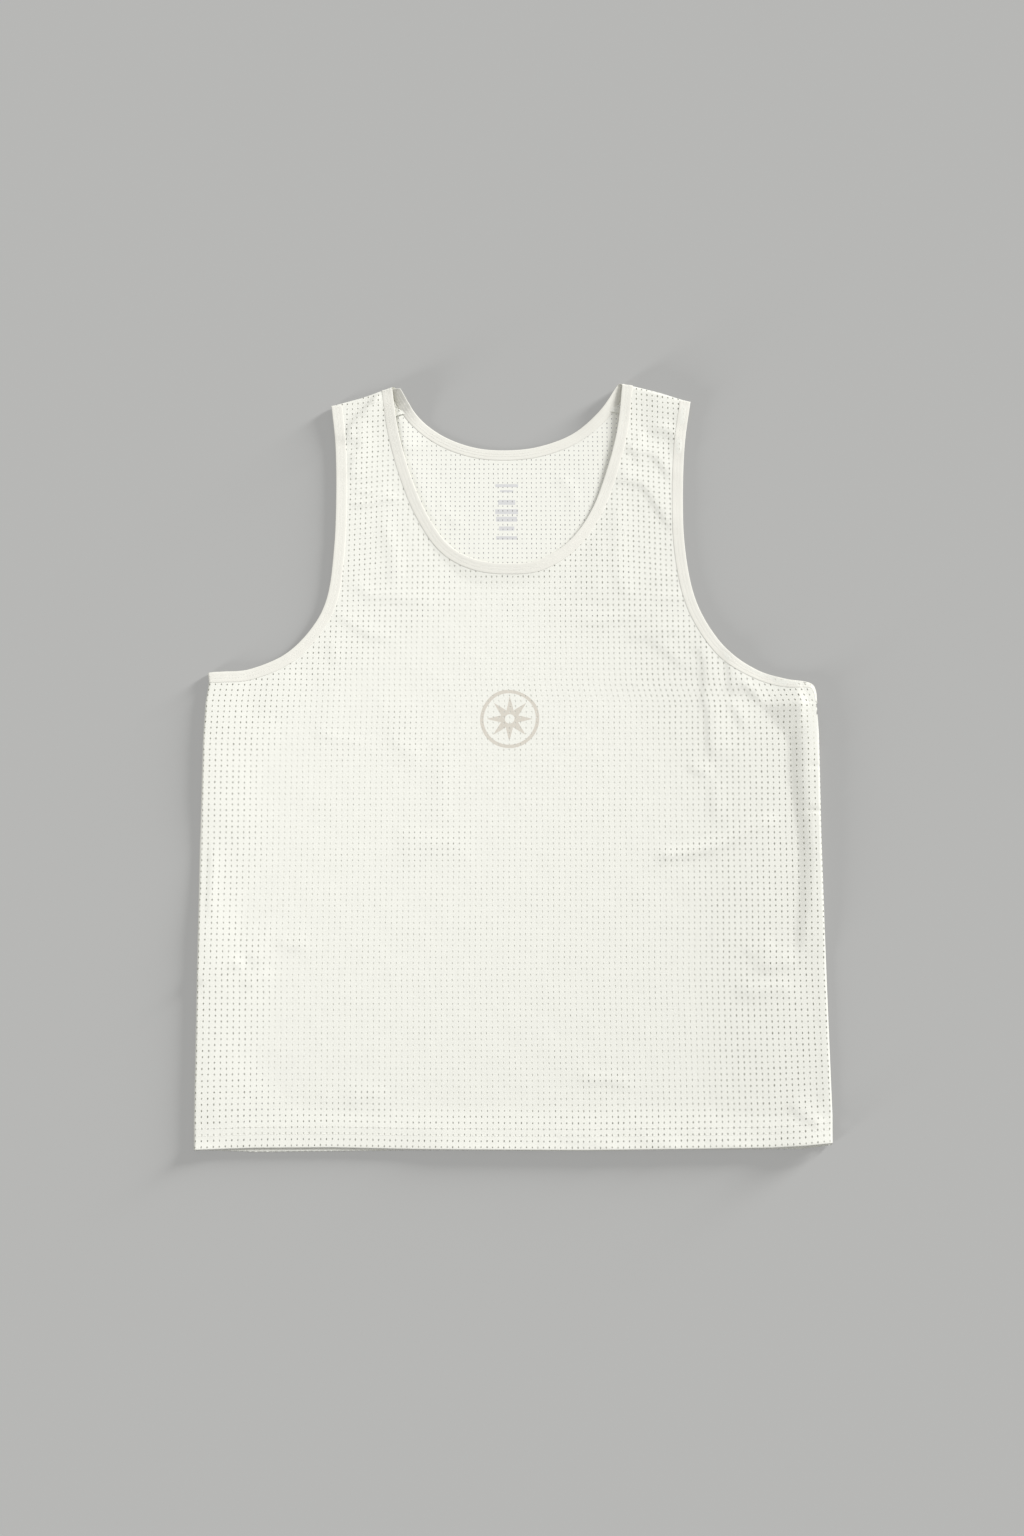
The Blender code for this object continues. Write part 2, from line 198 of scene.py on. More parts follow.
class Edge:
    """A smooth finished edge in plan, with the cloth on one side of it."""

    # between points of the edge, and points from knot to knot before they are spaced
    STEP = 1.0
    SPANS = 24
    # length of the straight tails, reach of distances square to the edge, and what is far off
    TAIL = 70.0
    FLUSH = 25.0
    FAR = 400.0
    # places that are looked up at a time
    BATCH = 20000

    def __init__(self, knots: tuple[Knot, ...], cloth_side: int) -> None:
        """Runs a Catmull-Rom curve through the knots and spaces its points evenly.

        Args:
            knots: the edge's knots in order.
            cloth_side: 1 with the cloth on the right of the way the edge runs, -1 on its left.
        """
        raw = np.array([(k.x, k.y, k.width) for k in knots], float)
        padded = np.vstack([2 * raw[0] - raw[1], raw, 2 * raw[-1] - raw[-2]])
        smooth = []
        for before, start, end, after in zip(padded, padded[1:], padded[2:], padded[3:]):
            t = np.linspace(0.0, 1.0, self.SPANS, endpoint=False)[:, None]
            smooth.append(
                start + 0.5 * t * (end - before)
                + 0.5 * t ** 2 * (2 * before - 5 * start + 4 * end - after)
                + 0.5 * t ** 3 * (3 * start - before - 3 * end + after)
            )
        line = np.vstack(smooth + [raw[-1:]])
        run = np.concatenate([[0.0], np.cumsum(np.hypot(*np.diff(line[:, :2], axis=0).T))])
        count = int(run[-1] / self.STEP) + 1
        even = np.linspace(0.0, run[-1], count)
        self.points = np.column_stack([np.interp(even, run, column) for column in line.T])
        self.length = float(run[-1])
        along = np.gradient(self.points[:, :2], axis=0)
        along /= np.linalg.norm(along, axis=1)[:, None]
        self.inward = np.column_stack([along[:, 1], -along[:, 0]]) * cloth_side
        self._long, self._long_inward = self._with_tails(along)

    def _with_tails(self, along: Array) -> tuple[Array, Array]:
        """The edge with straight tails, so that a distance has a sign past its ends."""
        steps = np.arange(self.STEP, self.TAIL, self.STEP)[:, None]
        head = self.points[0, :2] - along[0] * steps[::-1]
        tail = self.points[-1, :2] + along[-1] * steps
        points = np.vstack([head, self.points[:, :2], tail])
        inward = np.vstack([
            np.repeat(self.inward[:1], len(head), axis=0),
            self.inward,
            np.repeat(self.inward[-1:], len(tail), axis=0),
        ])
        return points, inward

    def inside(self, x: Array, y: Array) -> tuple[Array, Array]:
        """How far places are from the edge, on the cloth's side of it.

        Args:
            x, y: the places.

        Returns:
            The distances, negative off the cloth, and the unit vectors in plan towards the cloth.
            Places far from the edge have a large distance.
        """
        places = np.column_stack([np.ravel(x), np.ravel(y)])
        distance = np.full(len(places), self.FAR)
        inward = np.zeros((len(places), 2))
        low, high = self.points[:, :2].min(axis=0), self.points[:, :2].max(axis=0)
        close = np.all((places > low - self.TAIL) & (places < high + self.TAIL), axis=1)
        chosen = np.flatnonzero(close)
        for start in range(0, len(chosen), self.BATCH):
            part = chosen[start:start + self.BATCH]
            away = places[part][:, None, :] - self._long[None, ::2, :]
            nearest = 2 * np.argmin(np.einsum("ijk,ijk->ij", away, away), axis=1)
            gap = places[part] - self._long[nearest]
            normal = self._long_inward[nearest]
            flush = np.einsum("ij,ij->i", gap, normal)
            length = np.linalg.norm(gap, axis=1)
            distance[part] = np.where(length < self.FLUSH, flush, np.copysign(length, flush))
            inward[part] = normal
        return distance.reshape(np.shape(x)), inward.reshape(np.shape(x) + (2,))


ARMHOLES = {
    Side.LEFT: Edge((
        Knot(-270.6, 67.4, 9.6), Knot(-266, 68), Knot(-258, 68.4), Knot(-234.5, 70.8),
        Knot(-203, 85), Knot(-179.4, 110.4), Knot(-166.8, 139.6), Knot(-162, 185),
        Knot(-161.3, 235), Knot(-163.2, 285), Knot(-167.6, 323.6),
    ), cloth_side=1),
    Side.RIGHT: Edge((
        Knot(272.6, 40, 2), Knot(272.2, 50, 3), Knot(269.4, 56.6, 4.6),
        Knot(262, 59.6, 6), Knot(246, 62, 8), Knot(222, 69.4, 8.5),
        Knot(196, 86.8), Knot(176, 114.6), Knot(164, 146.2), Knot(158, 190),
        Knot(157.6, 235), Knot(160.4, 285), Knot(166.6, 327.3),
    ), cloth_side=-1),
}
NECKS = {
    Face.FRONT: Edge((
        Knot(-111, 339.8), Knot(-105.5, 302), Knot(-95, 262), Knot(-79.6, 222),
        Knot(-59, 190), Knot(-34, 174.6), Knot(-4, 170.4), Knot(26, 174),
        Knot(53.5, 193), Knot(74, 223), Knot(88.5, 263), Knot(98.2, 302),
        Knot(103, 343.2),
    ), cloth_side=1),
    Face.BACK: Edge((
        Knot(-103.5, 340.5), Knot(-87.5, 315), Knot(-63, 295.4), Knot(-34, 284.2),
        Knot(-4, 281.6), Knot(26, 285.4), Knot(57, 298), Knot(82, 320),
        Knot(99, 345),
    ), cloth_side=1),
}


@dataclass(frozen=True)
class ShoulderFold:
    """The line along which a strap folds over at the shoulder, from the armhole to the neck."""

    arm: Point
    neck: Point

    @property
    def along(self) -> Array:
        """Unit vector from the armhole to the neck."""
        run = np.subtract(self.neck, self.arm)
        return run / np.linalg.norm(run)

    @property
    def outward(self) -> Array:
        """Unit vector in plan off the shoulder, away from the hem."""
        along = self.along
        normal = np.array([-along[1], along[0]])
        return normal if normal[1] > 0 else -normal

    def past(self, x: Array, y: Array) -> Array:
        """How far places are past the fold, negative on the body's side of it."""
        return (x - self.arm[0]) * self.outward[0] + (y - self.arm[1]) * self.outward[1]


FOLDS_OVER = {
    Side.LEFT: ShoulderFold((-167.6, 323.6), (-111.0, 339.8)),
    Side.RIGHT: ShoulderFold((166.6, 327.3), (103.0, 343.2)),
}


def past_fold(x: Array, y: Array) -> tuple[Array, Array]:
    """How far places are past their side's shoulder fold, and the fold's outward vector."""
    left, right = FOLDS_OVER[Side.LEFT], FOLDS_OVER[Side.RIGHT]
    on_left = x < 0
    past = np.where(on_left, left.past(x, y), right.past(x, y))
    return past, np.where(on_left[..., None], left.outward, right.outward)


# ---- How the cloth lies ----

@dataclass(frozen=True)
class Rise:
    """A soft rise of the cloth, with its reach along X and Y."""

    x: float
    y: float
    reach_x: float
    reach_y: float
    height: float

    def lift(self, x: Array, y: Array) -> Array:
        """Height that it adds at places."""
        reach = ((x - self.x) / self.reach_x) ** 2 + ((y - self.y) / self.reach_y) ** 2
        return self.height * np.exp(-reach)


@dataclass(frozen=True)
class Crease:
    """A soft ridge in the cloth along a route, or a trough where its height is negative.

    The ridge has its own reach on the left and on the right of the way its route runs, so that
    one flank can be steeper, and it fades out over its ends.
    """

    route: tuple[Point, ...]
    height: float
    left: float
    right: float
    fade: float = 0.35

    def lift(self, x: Array, y: Array) -> Array:
        """Height that it adds at places."""
        stops = np.array(self.route, float)
        runs = np.linalg.norm(np.diff(stops, axis=0), axis=1)
        before = np.concatenate([[0.0], np.cumsum(runs)])
        best = np.full(np.shape(x), np.inf)
        reach, gone = np.ones(np.shape(x)), np.zeros(np.shape(x))
        for start, end, run, passed in zip(stops, stops[1:], runs, before):
            share, distance, turn = beside(start, end, x, y)
            nearer = distance < best
            best = np.where(nearer, distance, best)
            reach = np.where(nearer, np.where(turn > 0, self.left, self.right), reach)
            gone = np.where(nearer, (passed + share * run) / before[-1], gone)
        ends = ease(np.minimum(gone, 1.0 - gone) / self.fade)
        return self.height * ends * np.exp(-(best / reach) ** 2)


@dataclass(frozen=True)
class Ripple:
    """Faint waves in every direction, as knit has that was smoothed by hand."""

    seed: int
    height: float
    shortest: float
    longest: float
    count: int = 14

    def lift(self, x: Array, y: Array) -> Array:
        """Height that the waves add at places."""
        draw = np.random.default_rng(self.seed)
        total = np.zeros(np.shape(x))
        for _ in range(self.count):
            length = draw.uniform(self.shortest, self.longest)
            turn, phase = draw.uniform(0.0, math.pi), draw.uniform(0.0, 2.0 * math.pi)
            run = (x * math.cos(turn) + y * math.sin(turn)) * 2.0 * math.pi / length
            total += np.sin(run + phase) * length / self.longest
        return self.height * total / math.sqrt(self.count)


@dataclass(frozen=True)
class Loft:
    """A slack part of the cloth, which stands off what is under it inside an outline."""

    outline: tuple[Point, ...]
    height: float
    soft: float = 14.0

    def lift(self, x: Array, y: Array) -> Array:
        """Height at which it holds places."""
        corners = np.array(self.outline, float)
        inside = np.zeros(np.shape(x), bool)
        nearest = np.full(np.shape(x), np.inf)
        for start, end in zip(corners, np.roll(corners, -1, axis=0)):
            nearest = np.minimum(nearest, beside(start, end, x, y)[1])
            between = (start[1] > y) != (end[1] > y)
            way = end - start
            crossing = start[0] + (y - start[1]) * way[0] / (way[1] or 1.0)
            inside ^= between & (x < crossing)
        return self.height * ease(0.5 + np.where(inside, nearest, -nearest) / self.soft)


@dataclass(frozen=True)
class Bank:
    """A roll of slack cloth whose height and width change along its crest.

    Each row has the crest's x and y, the reach over which the roll falls towards the body, and
    its height.
    """

    rows: tuple[tuple[float, float, float, float], ...]
    outer_reach: float = 58.0

    def lift(self, x: Array, y: Array) -> Array:
        """Height at which it holds places."""
        rows = np.array(self.rows, float)
        best = np.full(np.shape(x), np.inf)
        height, reach = np.zeros(np.shape(x)), np.ones(np.shape(x))
        for start, end in zip(rows, rows[1:]):
            share, distance, turn = beside(start[:2], end[:2], x, y)
            body_reach = start[2] + (end[2] - start[2]) * share
            side_reach = np.where(turn < 0, body_reach, self.outer_reach)
            nearer = distance < best
            best = np.where(nearer, distance, best)
            reach = np.where(nearer, side_reach, reach)
            height = np.where(nearer, start[3] + (end[3] - start[3]) * share, height)
        return height * (1.0 - ease(best / reach))


@dataclass(frozen=True)
class Corner:
    """A raised corner of slack cloth, which climbs from a line and falls again past its peak."""

    foot: tuple[Point, Point]
    climb: float
    peak: Point
    fall: Point

    def lift(self, x: Array, y: Array) -> Array:
        """Height at which it holds places."""
        start, end = np.array(self.foot, float)
        way = (end - start) / np.linalg.norm(end - start)
        near_x, near_y = np.minimum(x, self.peak[0]), np.minimum(y, self.peak[1])
        rise = self.climb * (way[0] * (near_y - start[1]) - way[1] * (near_x - start[0]))
        rise = rise - self.fall[0] * (x - near_x) - self.fall[1] * (y - near_y)
        return np.clip(rise, 0.0, None)


@dataclass(frozen=True)
class FrontLie:
    """Height of the front cloth over the floor, without its side seams.

    Bands along the edges, lofts, corners and banks each hold the cloth up to a height, and the
    highest counts.  Creases, rises and ripples are added to that.  A stand is a band's height at
    its edge and a reach its width.  On the right the side's band is lower and narrower by shares.
    """

    side_stand: float = 2.0
    side_reach: float = 62.0
    right_stand: float = 0.5
    right_reach: float = 0.4
    side_flat: float = 5.0
    side_waves: tuple[tuple[float, float, float], ...] = ((0.22, 19.0, 0.0), (0.16, 47.0, 1.3))
    side_top: Point = (110.0, 50.0)
    side_dip: Point = (-95.0, 42.0)
    dipped: float = 0.5
    armhole_stand: float = 0.7
    armpit_stand: float = 1.6
    armpit_from: Point = (215.0, 35.0)
    armhole_reach: float = 26.0
    hem_stand: tuple[Point, ...] = (
        (0, 3.4), (5, 2.6), (10.5, 1.95), (18.5, 1.35), (27, 0.5), (34, 0),
    )
    flat_hem: float = 1.35
    flattened: float = 0.65
    flat_from: Point = (-272.0, 40.0)
    flat_to: Point = (-40.0, 60.0)
    neck_stand: float = 2.0
    neck_reach: float = 24.0
    ripples: tuple[Ripple, ...] = (
        Ripple(11, 0.06, 18, 46),
        Ripple(12, 0.03, 7, 15),
    )
    rises: tuple[Rise, ...] = (
        Rise(-111, 350, 26, 34, 4.2),
        Rise(-168, 334, 30, 34, 1.4),
        Rise(104, 350, 30, 40, 3.6),
        Rise(136, 342, 22, 30, 3),
        Rise(168, 330, 26, 34, 1.2),
        Rise(250, -344, 24, 18, 2.4),
        Rise(120, -338, 90, 26, 0.5),
    )
    lofts: tuple[Loft, ...] = (
        # left strap and chest
        Loft(((-290, 12), (-229, 12), (-181, 60), (-150, 79), (-96, 116), (-69, 140), (-60, 176),
            (-80, 260), (-90, 390), (-190, 390), (-180, 140), (-290, 90)), 1.2, 56),
        # right strap, chest and the slack right side
        Loft(((56, 121), (106, 106), (129, 70), (150, 25), (176, -12), (188, -40), (182, -120),
            (188, -200), (196, -330), (320, -330), (320, 60), (240, 90), (180, 150), (190, 390),
            (84, 390), (70, 220), (44, 180)), 0.9, 80),
        Loft(((60, 136), (104, 124), (140, 84), (178, 44), (240, 44), (230, 90), (180, 150),
            (190, 390), (84, 390), (70, 220)), 1.5, 44),
        # slack patches
        Loft(((-240, -164), (-210, -162), (-208, -202), (-238, -208)), 0.7, 26),
        Loft(((-96, -78), (-40, -76), (-38, -100), (-94, -104)), 0.4, 22),
        Loft(((-120, 46), (-82, 24), (-78, -20), (-108, -4)), 0.25, 26),
        Loft(((-172, 64), (-154, 62), (-152, -4), (-170, -2)), 0.2, 20),
        Loft(((-70, 4), (-56, 4), (-54, -68), (-68, -68)), 0.3, 18),
        Loft(((-162, -298), (-98, -298), (-96, -326), (-164, -326)), 0.3, 30),
    )
    corners: tuple[Corner, ...] = (
        # inside the right armpit
        Corner(((213, 43), (239, 6)), 0.20, (257, 38), (0.26, 0.20)),
    )
    banks: tuple[Bank, ...] = (
        # the roll down the right side
        Bank(((258, 30, 24, 4.5), (261, 11, 23, 5), (261, -4, 21, 5.2), (260.5, -28, 22, 5),
            (262, -48, 21, 4.7), (263.5, -64, 21, 4.4), (264.5, -90, 20, 4.1),
            (263.5, -118, 20, 3.8), (260, -144, 19, 3.4), (255, -166, 16, 2.7),
            (251, -184, 14, 1.6), (250, -205, 18, 0.5), (252, -330, 26, 0.2))),
    )
    creases: tuple[Crease, ...] = (
        # short dents in the right side
        Crease(((256, -58), (276, -59)), -0.8, 2.5, 2.5, 0.3),
        Crease(((260, -19), (278, -18)), -0.5, 2.5, 2.5, 0.3),
        # under the right armhole
        Crease(((160, 93), (171, 87), (174, 76), (173, 42), (176, 31), (177, 8), (179, -15)),
            1, 15, 3.5, 0.12),
        Crease(((180, -23), (179, -49), (179, -75)), 0.4, 10, 4),
        Crease(((153, -18), (167, -23), (179, -28)), 0.6, 8, 3),
        Crease(((188, 96), (195, 79), (198, 61), (195, 44)), 1.1, 12, 3.5, 0.25),
        Crease(((190, 46), (202, 31), (210, 11)), 0.7, 8, 4),
        Crease(((203, 64), (211, 54), (222, 43), (229, 37)), 1, 7, 3.5, 0.3),
        # the long ridge across the right side, and those low on it
        Crease(((121, -100), (156, -95), (175, -91), (196, -83), (214, -73), (236, -61)),
            1.3, 6, 5, 0.15),
        Crease(((204, -194), (222, -194), (238, -189), (250, -178)), 1.2, 9, 6, 0.4),
        Crease(((187, -217), (210, -214), (230, -212), (249, -216)), 0.8, 7, 7, 0.3),
        Crease(((199, -183), (212, -182), (228, -174)), 0.5, 6, 4, 0.25),
        # over the hem
        Crease(((50, -289), (75, -289), (92, -291), (109, -298)), 0.6, 6, 4),
        Crease(((-144, -309), (-126, -303), (-102, -298)), 0.5, 7, 5),
        Crease(((40, -339), (70, -341), (94, -348)), 0.3, 9, 3, 0.25),
        Crease(((104, -339), (124, -341), (143, -348)), 0.3, 9, 3, 0.25),
        Crease(((160, -339), (182, -341), (203, -348)), 0.25, 9, 3, 0.25),
        Crease(((232, -307), (243, -315), (253, -321.5), (263, -327)), 0.9, 9, 5, 0.25),
        # down the left side
        Crease(((-87, -88), (-66, -87), (-43, -87)), 0.25, 5, 4),
        Crease(((-179, 17), (-161, 9), (-143, 4), (-122, 2)), 0.3, 5, 4),
        Crease(((-115, 14), (-97, -1), (-81, -17)), 0.22, 8, 4),
        Crease(((-208, -174), (-191, -175), (-172, -179)), 0.45, 8, 4),
        Crease(((-273, -211), (-260, -202), (-250, -195), (-240, -190), (-226, -193)),
            1, 7, 5.5, 0.2),
        Crease(((-243, -171), (-228, -181), (-216, -195)), 0.4, 7, 5),
        Crease(((-232, -213), (-214, -203), (-205, -199)), 0.6, 6, 4),
        Crease(((-262, -75), (-261, -119), (-261, -163)), 0.5, 6, 3),
        # left strap
        Crease(((-119, 338), (-131, 325), (-142, 314), (-150, 301), (-154, 285)), 2, 9, 3.2, 0.2),
        Crease(((-126, 330), (-139, 306), (-140, 283), (-148, 267)), 0.8, 10, 3.5, 0.25),
        Crease(((-145, 283), (-146, 265), (-150, 250)), 0.9, 12, 5),
        Crease(((-153, 231), (-137, 228), (-125, 231), (-115, 234), (-97, 232)), 0.9, 4, 3.5, 0.3),
        Crease(((-150, 241), (-126, 239), (-106, 247)), 0.6, 4, 3),
        Crease(((-117, 230), (-115, 203), (-107, 178), (-105, 136)), 0.6, 8, 6),
        Crease(((-156, 160), (-139, 149), (-127, 140), (-114, 140), (-97, 137), (-59, 134)),
            0.5, 7, 5, 0.25),
        Crease(((-167, 130), (-150, 117), (-138, 109), (-127, 103), (-100, 99)), 0.5, 8, 4, 0.3),
        Crease(((-161, 104), (-160, 89), (-161, 72)), 0.4, 8, 5),
        Crease(((-186, 76), (-211, 51), (-231, 24)), 0.4, 12, 12),
        # right strap
        Crease(((76, 222), (91, 256), (101, 292), (106, 330), (110, 372)), 2, 12, 14, 0.5),
        Crease(((90, 251), (108, 251), (120, 248), (128, 238), (135, 225), (142, 213),
            (150, 199)), 1.15, 16, 3.5, 0.2),
        Crease(((113, 279), (128, 278), (136, 272), (141, 263), (148, 250)), 1, 10, 3, 0.25),
        Crease(((125, 301), (140, 302), (148, 300), (154, 291), (155, 269)), 1.2, 6, 5, 0.25),
        Crease(((123, 301), (115, 288), (106, 277)), 0.9, 6, 2.5, 0.3),
        Crease(((101, 284), (116, 279), (120, 263)), 0.8, 8, 4),
        Crease(((160, 331), (159, 315), (157, 299)), 0.9, 4, 6),
        Crease(((99, 242), (96, 193), (96, 164), (101, 147), (113, 132)), 0.5, 9, 5, 0.25),
        Crease(((124, 136), (144, 138), (165, 139)), 0.4, 5, 4),
        Crease(((122, 150), (139, 157), (155, 158)), 0.4, 5, 4),
        Crease(((55, 114), (80, 116), (103, 119), (127, 125)), 0.6, 8, 5),
        Crease(((100, 104), (116, 102), (129, 105), (143, 107), (163, 112)), 0.55, 8, 4.5, 0.3),
        Crease(((116, 104), (132, 94), (143, 84), (162, 68)), 0.5, 10, 4, 0.3),
    )

    def height(self, x: Array, y: Array) -> Array:
        """Height of the cloth at places in plan."""
        armpit, span = self.armpit_from
        at_armpit = ease((np.abs(x) - armpit) / span)
        armhole = self.armhole_stand + (self.armpit_stand - self.armhole_stand) * at_armpit
        stand = self.side_band(x, y)
        for edge in ARMHOLES.values():
            away = np.abs(edge.inside(x, y)[0])
            stand = np.maximum(stand, armhole * (1.0 - ease(away / self.armhole_reach)))
        from_neck = np.abs(NECKS[Face.FRONT].inside(x, y)[0])
        stand = np.maximum(stand, self.neck_stand * (1.0 - ease(from_neck / self.neck_reach)))
        stand = np.maximum(stand, self.hem_band(x, y))
        for part in self.lofts + self.corners + self.banks:
            stand = np.maximum(stand, part.lift(x, y))
        height = FRONT_LIE + stand
        for part in self.rises + self.creases + self.ripples:
            height += part.lift(x, y)
        return np.maximum(height, LIES[Face.BACK].height(x, y) + LEAST_GAP)

    def side_band(self, x: Array, y: Array) -> Array:
        """Height at which the side seams hold places."""
        wavy = 1.0
        for height, length, phase in self.side_waves:
            wavy = wavy + height * np.sin(y / length + phase)
        reach = self.side_reach * np.where(x < 0, wavy, self.right_reach)
        stand = self.side_stand * np.where(x < 0, 1.0, self.right_stand)
        stand = stand * (1.0 - ease((from_sides(x, y) - self.side_flat) / reach))
        top, top_span = self.side_top
        dip, dip_span = self.side_dip
        lower = 1.0 - self.dipped * np.exp(-((y - dip) / dip_span) ** 2)
        return stand * ease((top - y) / top_span) * lower

    def hem_band(self, x: Array, y: Array) -> Array:
        """Height at which the turned-up hem holds places, flatter on the left."""
        band = np.interp(y - hem_at(x, Face.FRONT), *np.array(self.hem_stand).T)
        start, start_span = self.flat_from
        end, end_span = self.flat_to
        flat = self.flattened * ease((x - start) / start_span) * ease((end - x) / end_span)
        return band - flat * np.clip(band - self.flat_hem, 0.0, None)


@dataclass(frozen=True)
class BackLie:
    """Height of the back cloth over the floor, without its side seams."""

    binding_step: float = 6.0
    ripples: tuple[Ripple, ...] = (Ripple(21, 0.05, 14, 40),)
    creases: tuple[Crease, ...] = (
        Crease(((226, 20), (206, -36), (198, -96)), 0.5, 3.5, 6, 0.3),
        Crease(((190, -160), (220, -196), (246, -202)), 0.4, 4, 5, 0.3),
        Crease(((-258, -120), (-250, -166), (-256, -210)), 0.4, 5, 4, 0.3),
        Crease(((-70, 246), (-62, 222), (-40, 200)), 0.3, 6, 4),
        Crease(((40, 262), (56, 244), (62, 222)), 0.35, 4, 6),
        # under the left shoulder: beside the front's edge, and the shoulder seam
        Crease(((-105.5, 324), (-104.5, 312), (-101.5, 292), (-97.5, 274)), 1.7, 15, 2.2, 0.2),
        Crease(((-100, 284), (-92, 262), (-76.5, 222.5), (-63, 200)), 0.55, 12, 2.2, 0.25),
        Crease(((-108, 321), (-100, 323), (-92, 324)), 1.5, 3.5, 1.8, 0.2),
    )

    def height(self, x: Array, y: Array) -> Array:
        """Height of the cloth at places in plan."""
        height = np.full(np.shape(x), BACK_LIE)
        nearest = np.full(np.shape(x), np.inf)
        for edge in (ARMHOLES[Side.LEFT], ARMHOLES[Side.RIGHT], NECKS[Face.BACK]):
            nearest = np.minimum(nearest, np.abs(edge.inside(x, y)[0]))
        off_binding = ease((nearest - BINDING_WIDTH) / self.binding_step)
        height += (BACK_BINDING_LIE - BACK_LIE) * (1.0 - off_binding)
        for part in self.creases + self.ripples:
            height += np.clip(part.lift(x, y), 0.0, None)
        return height


LIES = {Face.FRONT: FrontLie(), Face.BACK: BackLie()}


# ---- Finishes ----

class NodeSheet:
    """A short way to write a node tree: nodes by type, with values and links by socket name."""

    def __init__(self, tree: bpy.types.NodeTree) -> None:
        """Starts on a tree whose nodes it clears."""
        self.tree = tree
        tree.nodes.clear()

    def node(self, kind: str, settings: dict[str, object] | None = None,
             **sockets: object) -> Node:
        """Adds a node.

        Args:
            kind: the node's type.
            settings: its own properties.
            sockets: by an input's name with _ for a space, or in0, in1 for its number, either a
                value or an output socket to link from.

        Returns:
            The node.
        """
        made = self.tree.nodes.new(kind)
        for name, value in (settings or {}).items():
            setattr(made, name, value)
        for name, value in sockets.items():
            if name[:2] == "in" and name[2:].isdigit():
                socket = made.inputs[int(name[2:])]
            else:
                socket = made.inputs[name.replace("_", " ")]
            if isinstance(value, Socket):
                self.tree.links.new(value, socket)
            else:
                socket.default_value = value
        return made

    def out(self, kind: str, settings: dict[str, object] | None = None,
            **sockets: object) -> Socket:
        """Adds a node as node() does and returns its first output."""
        return self.node(kind, settings, **sockets).outputs[0]

    def math(self, operation: str, *values: object) -> Socket:
        """The result of a Math node in this tree."""
        sockets = {f"in{number}": value for number, value in enumerate(values)}
        return self.out("ShaderNodeMath", {"operation": operation}, **sockets)

    def named(self, name: str, kind: str) -> Socket:
        """A named attribute of a data type."""
        return self.out("GeometryNodeInputNamedAttribute", {"data_type": kind}, Name=name)


def new_material(name: str) -> tuple[Material, NodeSheet]:
    """An empty node material and its sheet."""
    material = bpy.data.materials.new(name)
    material.use_nodes = True
    return material, NodeSheet(material.node_tree)


@dataclass(frozen=True)
class Print:
    """A plain print on the cloth: a round badge, or short bars, on the flat cut."""

    centre: Point
    colour: Colour
    bars: tuple[tuple[float, float, float], ...] = ()
    radius: float = 0.0
    rays: int = 8
    half_ring: float = 1.6
    star: float = 0.78
    ray_slope: float = 0.26
    hub: float = 0.16

    def mask(self, sheet: NodeSheet, across: Socket,
             up: Socket) -> Socket:
        """Where the print is, as a socket from 0 to 1.

        Args:
            sheet: the material's nodes.
            across, up: millimetres across and up the flat cut.

        Returns:
            The mask.
        """
        x = sheet.math("SUBTRACT", across, self.centre[0])
        y = sheet.math("SUBTRACT", up, self.centre[1])
        return self._badge(sheet, x, y) if self.radius else self._bars(sheet, x, y)

    def _badge(self, sheet: NodeSheet, x: Socket,
               y: Socket) -> Socket:
        """A ring round a star of straight rays."""
        square = sheet.math("ADD", sheet.math("MULTIPLY", x, x), sheet.math("MULTIPLY", y, y))
        radius = sheet.math("SQRT", square)
        ring = sheet.math("COMPARE", radius, self.radius - self.half_ring, self.half_ring)
        turn = 2.0 * math.pi / self.rays
        angle = sheet.math("ARCTAN2", x, y)
        within = sheet.math("PINGPONG", angle, turn / 2.0)
        width = sheet.math("MULTIPLY", within, radius)
        room = sheet.math("SUBTRACT", self.radius * self.star, radius)
        ray = sheet.math("LESS_THAN", width, sheet.math("MULTIPLY", room, self.ray_slope))
        hub = sheet.math("GREATER_THAN", radius, self.radius * self.hub)
        return sheet.math("MAXIMUM", ring, sheet.math("MULTIPLY", ray, hub))

    def _bars(self, sheet: NodeSheet, x: Socket,
              y: Socket) -> Socket:
        """Level bars, each with its height over the centre, half its length and half its depth."""
        found = None
        for height, half_length, half_depth in self.bars:
            bar = sheet.math("MULTIPLY", sheet.math("COMPARE", x, 0.0, half_length),
                             sheet.math("COMPARE", y, height, half_depth))
            found = bar if found is None else sheet.math("MAXIMUM", found, bar)
        return found


